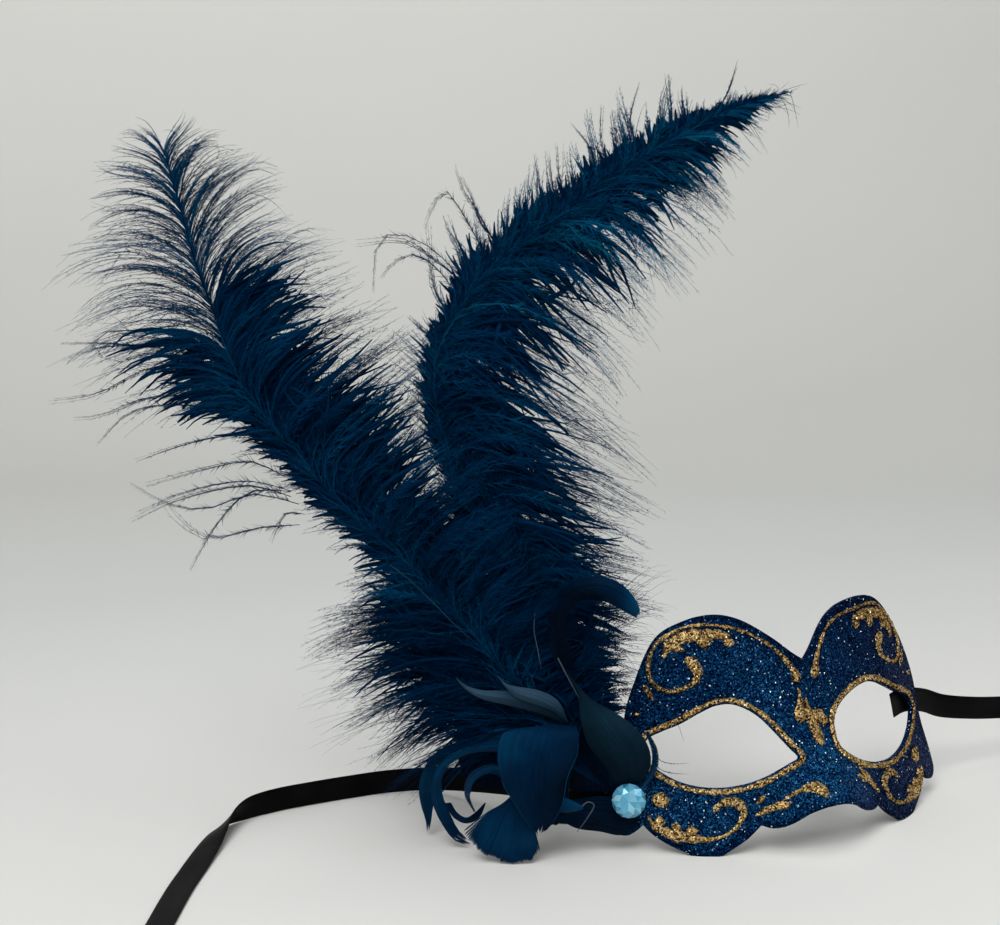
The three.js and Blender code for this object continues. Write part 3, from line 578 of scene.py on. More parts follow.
CHEEK_LINE = [
    (45.4, 16.6, 0.6), (42.2, 19.6, 1.2), (38.4, 20.6, 2), (35, 19.6, 2.2), (33.8, 16.8, 1.7),
    (34.9, 14, 1), (36.8, 11.3, 0.8), (40, 8.8, 0.7), (44, 7, 0.7), (48.7, 6.2, 0.9), (52, 6.4, 1.6),
    (56, 6.8, 2.3), (62.3, 7.8, 2.5), (66.6, 9.6, 2), (69.4, 12, 1.1), (70.8, 14.6, 0.5),
]
CHEEK_LOBES = [(66.2, 10.4, -0.2, 3.8, 1.9), (60.2, 8.4, -0.2, 3.6, 2.3), (54.2, 7.6, -0.2, 3.2, 2.4)]
BRANCH = {
    "left": [
        [(-29.8, 15.2, 0.6), (-26.1, 17.2, 1.4), (-22.5, 18.8, 1.7), (-19, 19.8, 1.5), (-16.2, 20.6, 0.6)],
        [(-29, 19.8, 0.5), (-27, 21.4, 0.9), (-25.2, 23.4, 0.7)],
        [(-19.6, 21.4, 0.5), (-16.1, 23.5, 0.7), (-13.2, 25, 0.8), (-10.3, 26, 1.3), (-7, 26, 2.1),
         (-4.8, 24.4, 2), (-3.7, 22.2, 0.8)],
    ],
    "right": [
        [(16.7, 28.9, 0.6), (20, 25.2, 1.1), (24.3, 20.5, 1.1), (29.2, 15.4, 0.5)],
        [(14.1, 27, 0.5), (17.2, 24.8, 0.9), (20.6, 22.4, 0.6)],
    ],
}
FLOURISH = [
    [(-4.7, 62.6, 0.5), (-4.4, 59.5, 0.9), (-5, 55.7, 1.8), (-5.8, 52, 2.7), (-6.6, 48.9, 1.7)],
    [(-1.9, 58.7, 0.6), (-2.4, 53.4, 1.6), (-1.8, 49.6, 2.2), (-0.8, 45.8, 2.4), (-0.4, 42.1, 2.5),
     (-0.3, 39.9, 1)],
    [(-1, 53.2, 0.8), (1.8, 51.3, 2.2), (3.4, 49.2, 2.4), (3.1, 46.6, 1)],
]
BEADS = {
    "temple_bead": (66, 64.8, -3, -5.2, 1.2), "rim_bead": (70.2, 54.6, -0.8, -1.4, 1.6),
    "cheek_bead": (68.4, 20.4, -6.2, 0.6, 2.7),
}


def raised(rows, closed):
    """Domed line through rows of u, v and half width."""
    rows = np.array(rows, float)
    curve = catmull(rows, 300, closed)
    count = max(int(along(curve[:, :2])[-1] / RELIEF_STEP), 8)
    curve = spaced(curve, count)
    step = (np.roll(curve, -1, 0) - np.roll(curve, 1, 0)) if closed else np.gradient(curve, axis=0)
    side = unit(np.c_[-step[:, 1], step[:, 0]])
    grain = random.normal(0, 1, count)
    grain = np.convolve(np.r_[grain[-3:], grain, grain[:3]], np.ones(4) / 4, "same")[3:-3]
    half = np.maximum(curve[:, 2], 0.25) * (1 + RELIEF_GRAIN * grain)
    high = RELIEF * np.minimum(1, 0.45 + 0.45 * half) * (1 + 0.1 * random.normal(0, 1, count))
    if not closed:
        fade = np.clip(np.minimum(np.arange(count), np.arange(count)[::-1]) / 3, 0.05, 1)
        half, high = half * fade ** 0.5, high * fade ** 0.5
    ring = []
    for angle in np.linspace(0, math.pi, 9):
        w, h = math.cos(angle), math.sin(angle) ** 0.75
        rough = 1 + 0.05 * random.normal(0, 1, count)
        u, v = curve[:, 0] + side[:, 0] * half * w, curve[:, 1] + side[:, 1] * half * w
        ring.append(on_face(u, v, WALL / 2 - SUNK_EDGE + high * h * rough))
    for w in (-0.5, 0.5):
        u, v = curve[:, 0] + side[:, 0] * half * w, curve[:, 1] + side[:, 1] * half * w
        ring.append(on_face(u, v, np.full(count, WALL / 2 - SUNK_BASE)))
    return surface(np.stack(ring, axis=1)[:, ::-1], closed_rows=closed)


def lobe(u, v, du, dv, half):
    """Rows of a short leaf."""
    return [(u + du * s, v + dv * s, half * w) for s, w in ((0, 0.4), (0.35, 0.9), (0.75, 1), (1.2, 0.35))]


def gold(name, node, lines, lobes=(), closed=False):
    parts = [raised(rows, closed) for rows in [*lines, *(lobe(*row) for row in lobes)]]
    settle(mesh_object(name, *joined(parts), gold_glitter), "gold_relief", node)


RIM_MARGIN, RIM_HALF = 1.6, 1.05
for side_name, half in (("left", -1), ("right", 1)):
    turned = lambda rows: [(half * r[0], *r[1:]) for r in rows]
    mirrored = lambda rows: [(half * r[0], r[1], half * r[2], *r[3:]) for r in rows]
    loop = EYE_LOOPS[half][::6]
    ahead = np.roll(loop, -1, 0) - np.roll(loop, 1, 0)
    out = unit(np.c_[-ahead[:, 1], ahead[:, 0]])
    rim = loop + out * RIM_MARGIN
    gold("rim_relief_" + side_name, "eye_rim_" + side_name,
         [[(half * u, v, RIM_HALF) for u, v in rim[::2]]], closed=True)
    gold("brow_relief_" + side_name, "brow_scroll_" + side_name,
         [turned(BROW_LINE), turned(BROW_LEAF)], mirrored(BROW_LOBES))
    gold("cheek_relief_" + side_name, "cheek_scroll_" + side_name,
         [turned(CHEEK_LINE)], mirrored(CHEEK_LOBES))
    gold("branch_relief_" + side_name, "cheek_branch_" + side_name, BRANCH[side_name])
    for bead, row in BEADS.items():
        gold(bead + "_relief_" + side_name, bead + "_" + side_name, [], mirrored([row]))
gold("flourish_relief", "centre_flourish", FLOURISH)


# Gem: table, star, kite and girdle facets, flat shaded, each with its own tone: painted reflections, lighter
# on the crown than on the girdle and back.
GEM = {"u": -76.8, "v": 20.7, "lift": 5.8, "back": 6.3, "girdle": 6.6, "crown": 5.3, "table": 3.5}
GEM_HIGH = {"back": -1.6, "low": 0.7, "girdle": 1.4, "crown": 3.1, "table": 4.2}
GEM_SIDES = 16


def gem():
    centre = on_face(GEM["u"], GEM["v"], GEM["lift"])
    normal = unit(on_face(GEM["u"], GEM["v"], GEM["lift"] + 1) - centre)
    right = unit(np.cross(UP, normal))
    up = np.cross(normal, right)

    def ring(radius, height, sides, phase):
        angle = (np.arange(sides) + phase) * 2 * math.pi / sides
        out = np.cos(angle)[:, None] * right + np.sin(angle)[:, None] * up
        return centre + radius * out + height * normal

    mains = GEM_SIDES // 2
    back = ring(GEM["back"], GEM_HIGH["back"], GEM_SIDES, 0)
    low = ring(GEM["girdle"], GEM_HIGH["low"], GEM_SIDES, 0)
    girdle = ring(GEM["girdle"], GEM_HIGH["girdle"], GEM_SIDES, 0)
    crown = ring(GEM["crown"], GEM_HIGH["crown"], mains, 0.5)
    top = ring(GEM["table"], GEM_HIGH["table"], mains, 0)
    ends = [centre + GEM_HIGH[key] * normal for key in ("back", "table")]
    verts = np.concatenate([back, low, girdle, crown, top, ends])
    b, l, g, c, t = 0, GEM_SIDES, 2 * GEM_SIDES, 3 * GEM_SIDES, 3 * GEM_SIDES + mains
    base, crest = len(verts) - 2, len(verts) - 1
    faces = []
    for i in range(GEM_SIDES):
        n = (i + 1) % GEM_SIDES
        faces += [(base, b + n, b + i), (b + i, b + n, l + n), (b + i, l + n, l + i)]
        faces += [(l + i, l + n, g + n), (l + i, g + n, g + i)]
    for i in range(mains):
        n = (i + 1) % mains
        e, o, w = g + 2 * i, g + 2 * i + 1, g + (2 * i + 2) % GEM_SIDES
        faces += [(e, o, c + i), (o, w, c + i), (w, c + n, t + n), (w, t + n, c + i), (c + i, t + n, t + i)]
        faces += [(crest, t + i, t + n)]
    obj = mesh_object("gem_stone", verts, faces, gem_aqua, smooth=False)
    # Facet tones are painted reflections: low on the back and girdle, high on the crown.
    low = np.r_[np.full(5 * GEM_SIDES, 0.05), np.tile([0.1, 0.1, 0.3, 0.3, 0.45, 0.5], mains)]
    high = np.r_[np.full(5 * GEM_SIDES, 0.3), np.tile([0.6, 0.6, 0.8, 0.8, 0.9, 0.85], mains)]
    store(obj, "facet_light", "FACE", random.uniform(low, high))
    settle(obj, "gem", "gem")


gem()


# Slim curled feathers: barbs on both sides of a quill, as rows of a, t, z, half width and roll.
GOOSE = {"spacing": 0.42, "slant": 0.7, "ragged": 0.035, "reach": 9, "quill": 0.3, "sides": 8, "flat": 0.7}
FEATHERS = {
    "small_curl": {"cup": 0.15, "rows": [
        (5, 8.6, 25.4, 0.8, 50), (15, 9.4, 27.4, 1.8, 55), (27, 9.8, 30.6, 2.4, 60),
        (36, 10, 34.6, 2.4, 60), (43, 10, 31, 2.3, 55), (45, 10, 24, 1.8, 50), (42, 10, 17, 0.6, 50)]},
    "eye_crescent": {"cup": 0.1, "rows": [
        (-21.8, 8.6, 25.4, 0.6, 0), (-25, 8.2, 29.6, 1.2, 0), (-27.2, 7.6, 35, 1.5, 0),
        (-27, 7.4, 41, 1.3, 0), (-24, 7, 48, 0.6, 0)]},
}


def vane_frame(rows, count=240):
    """Centre, width direction, normal and half width along a feather, as in the CAD part."""
    rows = np.array(rows, float)
    raw = fan(catmull(rows[:, :3], count))
    shape = catmull(rows[:, 3:5], count)
    d = along(raw)
    at = np.linspace(0, d[-1], count)
    centre = spaced(raw, count)
    half, roll = (np.interp(at, d, shape[:, k]) for k in range(2))
    tangent = unit(np.gradient(centre, axis=0))
    normal = unit(TOWARD - (tangent @ TOWARD)[:, None] * tangent)
    width = np.cross(tangent, normal)
    roll = np.radians(roll)[:, None]
    spun = width * np.cos(roll) + np.cross(tangent, width) * np.sin(roll)
    normal = normal * np.cos(roll) + np.cross(tangent, normal) * np.sin(roll)
    return {"d": at, "centre": centre, "tangent": tangent, "width": spun, "normal": normal, "half": half}


def sample(frame_of, d):
    flat = np.clip(d, 0, frame_of["d"][-1])
    pick = lambda table: np.stack([np.interp(flat, frame_of["d"], table[:, k]) for k in range(3)], axis=-1)
    found = {key: pick(frame_of[key]) for key in ("centre", "tangent", "width", "normal")}
    found["half"] = np.interp(flat, frame_of["d"], frame_of["half"])
    return found


def three_sided(n, k):
    """Quads of n three-sided strips of k points each."""
    i, j, m = np.meshgrid(np.arange(n), np.arange(k - 1), np.arange(3), indexing="ij")
    base, o = (i * k + j) * 3, (m + 1) % 3
    return np.stack([base + m, base + o, base + 3 + o, base + 3 + m], axis=-1).reshape(-1, 4)


def strands(points, lateral, normal, half, thick):
    """Closed three-sided strips along rows of points: verts and quads of all strips."""
    n, k = points.shape[:2]
    side = lateral * half[..., None]
    verts = np.stack([points - side, points + normal * thick, points + side], axis=2)
    return verts.reshape(-1, 3), three_sided(n, k)


def goose(name, rows, cup):
    """Barbs on both sides of a quill; locks of barbs lean and lift together."""
    spacing, slant, ragged, reach = (GOOSE[key] for key in ("spacing", "slant", "ragged", "reach"))
    f = vane_frame(rows)
    length = f["d"][-1]
    parts = []
    for side in (-1, 1):
        roots = np.arange(0.01 * length, 0.995 * length, spacing)
        roots = roots + random.uniform(-0.1, 0.1, len(roots)) * spacing
        breaks = np.cumsum(random.uniform(0, 1, len(roots)) < 0.07)
        by_lock = lambda spread: random.normal(0, spread * ragged, breaks[-1] + 1)[breaks]
        lean = by_lock(1) + random.normal(0, 0.015, len(roots))
        extent = 1 - np.abs(by_lock(0.4)) - np.abs(random.normal(0, 0.02, len(roots)))
        lift = by_lock(0.5)
        q = np.linspace(0, 1, reach)[None, :]
        root_half = np.interp(roots, f["d"], f["half"])[:, None]
        d = roots[:, None] + (slant + lean[:, None]) * q * root_half
        at = sample(f, d)
        w = side * q * extent[:, None]
        tip = np.maximum(d - length, 0)
        p = at["centre"] + at["width"] * (w * at["half"])[..., None] + at["tangent"] * (0.6 * tip)[..., None]
        bow = -cup * w ** 2 * at["half"] + lift[:, None] * q ** 2 * root_half * 0.35
        p = p + at["normal"] * (bow + random.normal(0, 0.03, (len(roots), 1)))[..., None]
        half = 0.56 * spacing * np.interp(q, [0, 0.8, 1], [1, 0.95, 0.25]) * np.ones_like(d)
        parts.append(strands(p, at["tangent"], at["normal"], half, 0.16))
    taper = GOOSE["quill"] * np.interp(f["d"] / length, [0, 0.2, 1], [1, 0.8, 0.2])
    parts.append(tube(f["centre"], f["width"], f["normal"], taper, GOOSE["sides"], GOOSE["flat"]))
    verts, faces = joined(parts)
    index = np.repeat([0, 0, 1], [len(quads) for _, quads in parts])
    obj = mesh_object(name + "_barbs", above_floor(verts), faces, [goose_blue, quill_grey], index)
    settle(obj, "feather", name)


for feather, how in FEATHERS.items():
    goose(feather, **how)


# Broad curled feathers: barbs side by side between two edges. An entry is the node, the look, the number of
# barbs, the bow, the tones along it, which are painted light and shade, both edges as rows of a, t, z, and
# for some the painted sheen and the tongue.
PETALS = {
    "front_vane_petal": ("front_vane", "satin", 74, 2.5,
        [(0, 0), (0.3, 0.25), (0.4, 0.5), (0.6, 0.45), (0.75, 0.2), (1, 0.25)],
        [(-6, 7, 27), (8, 8.4, 36), (22, 9.4, 46), (29.6, 12.4, 51), (32.4, 16, 48), (33, 18.6, 38.5),
         (30.3, 20, 30.5), (24.5, 20.6, 21), (20, 20.4, 13.5), (18, 20, 10.4)],
        [(-10, 7, 26), (-4, 8.6, 36), (1, 9.6, 46), (4, 12, 53), (2.4, 15.4, 51), (3.2, 18, 43),
         (6.8, 19.4, 34.5), (8.7, 20.4, 24.6), (12, 20.4, 17), (17.4, 20, 10.8)], (0.25, -0.2)),
    # A dark sheet of painted shade under the front vane.
    "front_vane_shade": ("front_vane", "satin", 40, 0.5, [(0, 0), (1, 0.05)],
        [(30, 17, 36), (26, 18, 24), (20, 18.4, 14.6)], [(6, 16.6, 36), (6.4, 17.6, 24), (7, 18.2, 14.4)]),
    "front_vane_flap": ("front_vane", "satin", 12, 0.5, [(0, 0.4), (1, 0.85)],
        [(12, 19.6, 21), (6, 20.2, 21), (0.4, 20.4, 22.4)],
        [(9.4, 19.8, 27), (5.4, 20.6, 25.8), (0.2, 20.6, 23)]),
    "floor_fan_petal": ("floor_fan", "satin", 62, 1.5, [(0, 0.15), (0.4, 0.4), (0.8, 0.65), (1, 0.5)],
        [(25, 18.4, 30), (31.1, 18, 23.8), (37.9, 16.5, 19.2), (46.7, 14.6, 12.6)],
        [(20.4, 19, 28), (20.5, 19, 20.6), (19.3, 18.5, 15.2), (16.6, 18.2, 5.6)], (0, 0), (1, 3.5, -9)),
    "outer_hook_petal": ("outer_hook", "satin", 26, 1, [(0, 0.2), (0.3, 0.6), (0.55, 0.85), (1, 0.5)],
        [(0, 3, 33), (20, 2.6, 46), (32.2, 2, 48), (43.9, -2, 42.6), (55.7, -4.6, 37.4), (61.7, -6, 29.8),
         (64.2, -7, 20.6), (63.2, -7.4, 12.2), (61, -7, 4.6), (61.4, -5.6, 0.3)],
        [(0, 3.6, 28), (20, 3.4, 40), (33.4, 3, 42.7), (43.9, -1, 38.9), (51.8, -3.6, 34.6), (55.8, -5, 29),
         (57.1, -6.4, 21), (58.6, -7, 13.4), (59.8, -7, 4.6), (61.2, -5.6, 0.3)]),
    "inner_hook_petal": ("inner_hook", "satin", 20, 1, [(0, 0.1), (0.3, 0.45), (0.55, 0.75), (1, 0.4)],
        [(0, 6, 31), (18, 6.6, 41), (33, 6, 44.5), (43.8, 5, 41.8), (51.5, 4, 38.2), (56.6, 4, 32.6),
         (58.9, 4, 25.7), (58.2, 4.6, 18), (54.7, 5, 10.2), (49.3, 5, 3), (41.5, 5, 1)],
        [(0, 6, 27), (18, 6.6, 36), (32.6, 6, 39.7), (41.9, 5, 39.4), (48.4, 4.6, 36.8), (53.1, 4.6, 32.8),
         (55, 4.6, 27.1), (54.3, 5, 21.2), (52, 5.2, 15.5), (48.1, 5.2, 7.3), (41.9, 5, 1.8)]),
    "inner_hook_curl": ("inner_hook", "satin", 5, 0.3, [(0, 0.2), (1, 0.1)],
        [(53.4, 5, 18.8), (50.2, 6, 13.4), (45.4, 7, 11.4), (40.4, 8, 14), (37.6, 9, 20.3)],
        [(51.4, 5, 19), (48.8, 6, 15.2), (45.4, 7, 13.6), (41.8, 8, 16), (38, 9, 20.5)]),
    "slim_quill_lower_petal": ("slim_quill_lower", "pale", 11, 0.6,
        [(0, 0.1), (0.4, 0.5), (0.8, 0.9), (1, 0.7)],
        [(6.5, 6, 51.7), (16.9, 6.5, 58.7), (28.4, 6, 63.7), (39.9, 5.5, 64.3), (46, 5, 66.5),
         (50.6, 5, 70.9)],
        [(7.3, 6, 50.9), (18.8, 6.5, 55.9), (29.2, 6, 58.5), (38.7, 5.5, 60.7), (45.2, 5, 64.2),
         (50.2, 5, 70.1)]),
    "slim_quill_upper_petal": ("slim_quill_upper", "pale", 12, 0.6,
        [(0, 0.3), (0.4, 0.8), (0.7, 0.9), (1, 0.7)],
        [(6.2, 7, 52.1), (10.1, 8, 60.7), (17, 8.4, 64.8), (25.4, 8.6, 66.5), (30.3, 8.6, 68),
         (34.1, 8.6, 72.4)],
        [(7.4, 7, 52.5), (12.4, 8, 56.8), (18.9, 8.4, 59.7), (25.4, 8.6, 62.1), (29.9, 8.6, 66.1),
         (33.7, 8.6, 71.6)]),
    "tall_vane_petal": ("tall_vane", "teal", 46, 2,
        [(0, 0.25), (0.3, 0.5), (0.6, 0.85), (0.8, 0.6), (1, 0.3)],
        [(-14.4, 5.6, 22), (-8, 7.4, 34.6), (-1.4, 9, 43.8), (1.3, 9, 53.5), (2.5, 8.4, 62.5), (6.8, 8, 71),
         (9.8, 8, 76.9)],
        [(-18, 5.6, 23), (-24.8, 9.4, 33.6), (-24.8, 12, 42), (-20.6, 12.6, 50), (-11.6, 10.5, 57),
         (-2.8, 9, 61.5), (4.8, 8, 69.8), (9.4, 8, 76.5)]),
    # A dark sheet of painted shade between the front and tall vanes.
    "tall_vane_shade": ("tall_vane", "satin", 30, 0.5, [(0, 0), (1, 0)],
        [(5, 6.6, 24), (3.4, 6.6, 38), (3, 6.4, 52)], [(-15, 6.6, 24), (-11, 6.6, 36), (-4, 6.4, 50)]),
    "tall_vane_hook": ("tall_vane", "satin", 30, 1.5,
        [(0, 0), (0.55, 0), (0.8, 0.3), (0.92, 0.75), (1, 0.9)],
        [(10.4, 2, 72), (13.2, 4, 81), (14.4, 6, 90), (13, 8, 98), (7.4, 9, 106.5), (-3.1, 10, 110),
         (-13, 11, 107.4), (-19.5, 12, 100), (-21.1, 12, 93.7)],
        [(4.2, 2, 72), (5, 4, 79), (7.2, 6, 87.1), (6.9, 8, 94.5), (3.2, 9, 99.6), (-3.6, 10, 101.5),
         (-10, 11, 99.2), (-16.1, 12, 96.1), (-20.7, 12, 93.3)], (0.1, -0.2)),
    # Dark sheets of painted shade behind the feathers.
    "tall_vane_back_shade": ("tall_vane", "satin", 44, 0.5, [(0, -0.2), (0.6, -0.2), (1, 0)],
        [(10, -2, 50), (18, -3, 64), (20, -3, 80), (14, -2, 96)],
        [(-2, -1, 50), (0, -2, 62), (1, -2, 78), (3, -1, 94)]),
    "outer_hook_shade": ("outer_hook", "satin", 44, 0.5, [(0, -0.2), (1, -0.2)],
        [(38, -3, 66), (46, -3, 56), (49, -3.4, 44), (48, -3, 32), (44, -2, 21)],
        [(24, -3, 66), (22, -3, 54), (22, -3, 42), (24, -2, 30), (27, -2, 20)]),
    "tab_feather_petal": ("tab_feather", "satin", 30, 0.6, [(0, 0.2), (0.5, 0), (1, 0.05)],
        [(11, 9.6, 15.4), (3.4, 9.6, 10.6), (-6.3, 9.4, 9), (-14.8, 9, 7.4), (-22, 8.4, 11)],
        [(9.2, 9, 20), (1.5, 9, 22), (-6.2, 9, 23), (-14.7, 8.6, 21.5), (-22, 8.4, 16)]),
}
PETAL_POINTS, FEW_BARBS = 26, 8
# Thin quills and pale edges: node, look, radius and route.
QUILL_TAPER = [(0, 1), (0.7, 0.8), (1, 0.3)]
FINE_QUILLS = {
    "front_vane_quill": ("front_vane", quill_pale, 0.3,
        [(2, 20, 22.6), (-1, 20, 24.9), (-3.3, 19, 23.4), (-0.4, 18, 17), (3, 18, 12.2)]),
    "tall_vane_quill": ("tall_vane", quill_pale, 0.28,
        [(10.3, 9, 78), (7.6, 9.4, 72.6), (4.9, 9.6, 67.5), (2.2, 9.6, 62.4)]),
    "tall_vane_line": ("tall_vane", quill_pale, 0.16,
        [(19.1, 11, 96.2), (19.4, 11, 89.2), (17.9, 11, 81.4), (16.7, 11, 74.4)]),
    "plume_left_line": ("plume_left", quill_grey, 0.22,
        [(73.7, 6, 113.4), (66.2, 6.6, 107.6), (56.8, 7, 98.3), (48.2, 7, 89.3), (40.2, 6, 81.8)]),
    "front_vane_edge": ("front_vane", quill_blue, 0.16,
        [(2.8, 17.2, 47), (3.2, 18.2, 43), (6.8, 19.6, 34.5), (8.7, 20.6, 24.6), (12, 20.6, 17)]),
    "front_vane_seam": ("front_vane", quill_blue, 0.16,
        [(31.6, 20, 33.6), (30.3, 20.2, 30.5), (24.5, 20.8, 21), (20, 20.6, 13.5)]),
}


def between(array, at):
    """Rows of an array at fractional columns."""
    low = np.minimum(at.astype(int), array.shape[1] - 2)
    part = (at - low)[..., None]
    rows = np.arange(len(array))[:, None]
    return array[rows, low] * (1 - part) + array[rows, low + 1] * part


def petal(name, node, look, count, bow, tones, left, right, painted_sheen=(0, 0), tongue=(0, 0, 0)):
    """Bow lifts the middle, tones are painted light and shade along the barbs, sheen is painted light and
    shade added at each edge, tongue moves the middle of the end.
    """
    edge = [fan(spaced(catmull(rows, 200), PETAL_POINTS)) for rows in (left, right)]
    w = (np.arange(count) + 0.5)[:, None, None] / count
    points = edge[0] * (1 - w) + edge[1] * w
    run = np.linspace(0, 1, PETAL_POINTS)
    hump = 4 * w * (1 - w)
    swell = hump * np.sin(np.pi * run)[None, :, None]
    across = unit(edge[1] - edge[0])[None] * np.ones_like(points)
    normal = unit(np.cross(across, np.gradient(points, axis=1)))
    normal = normal * np.sign((normal @ TOWARD).mean())
    push = tongue[0] * ACROSS + tongue[1] * TOWARD + tongue[2] * UP
    late = np.clip(run * 2 - 1, 0, 1)[None, :, None] ** 1.2
    points = points + bow * swell * normal + np.sqrt(hump) * late * push
    scallop = np.convolve(random.uniform(0, 1, count + 6), np.ones(5) / 5, "same")[3:-3]
    end = 1 - 0.07 * scallop - 0.012 * random.uniform(0, 1, count)
    if count < FEW_BARBS:
        end = np.ones(count)
    at = run[None, :] * end[:, None] * (PETAL_POINTS - 1)
    points, across, normal = (between(array, at) for array in (points, across, normal))
    points = points + normal * random.normal(0, 0.03, (count, 1, 1))
    width = np.linalg.norm(edge[1] - edge[0], axis=1)
    half = 0.8 * np.interp(at / (PETAL_POINTS - 1), run, width) / count
    half = np.maximum(half, 0.12) * np.interp(run, [0, 0.95, 1], [1, 1, 0.45])
    verts, quads = strands(points, across, normal, half, 0.06)
    obj = mesh_object(name, above_floor(verts), quads, SATINS[look])
    # Painted light and shade: the tones along the run and the sheen at the edges.
    tone = lookup(tones, run)[None, :] + 0.03 * random.normal(0, 1, (count, 1))
    tone = tone + painted_sheen[0] * (1 - w[:, :, 0]) + painted_sheen[1] * w[:, :, 0]
    store(obj, "tone", "POINT", np.repeat(tone, 3))
    settle(obj, "feather", node)


def quill(name, node, skin, path, radius, taper, sides, flat=1.0):
    """Quill along a path of the fan frame; taper is a table of the share of radius along it."""
    path = fan(path)
    tangent = unit(np.gradient(path, axis=0))
    lateral = unit(np.cross(tangent, TOWARD))
    thick = radius * lookup(taper, np.linspace(0, 1, len(path)))
    verts, quads = tube(path, lateral, np.cross(lateral, tangent), thick, sides, flat)
    slot = "plume" if node.startswith("plume") else "feather"
    settle(mesh_object(name, verts, quads, skin), slot, node)


for petal_name, how in PETALS.items():
    petal(petal_name, *how)
for quill_name, (quill_node, skin, radius, rows) in FINE_QUILLS.items():
    path = spaced(catmull(rows, 120), 40)
    quill(quill_name, quill_node, skin, path, radius, QUILL_TAPER, sides=6)


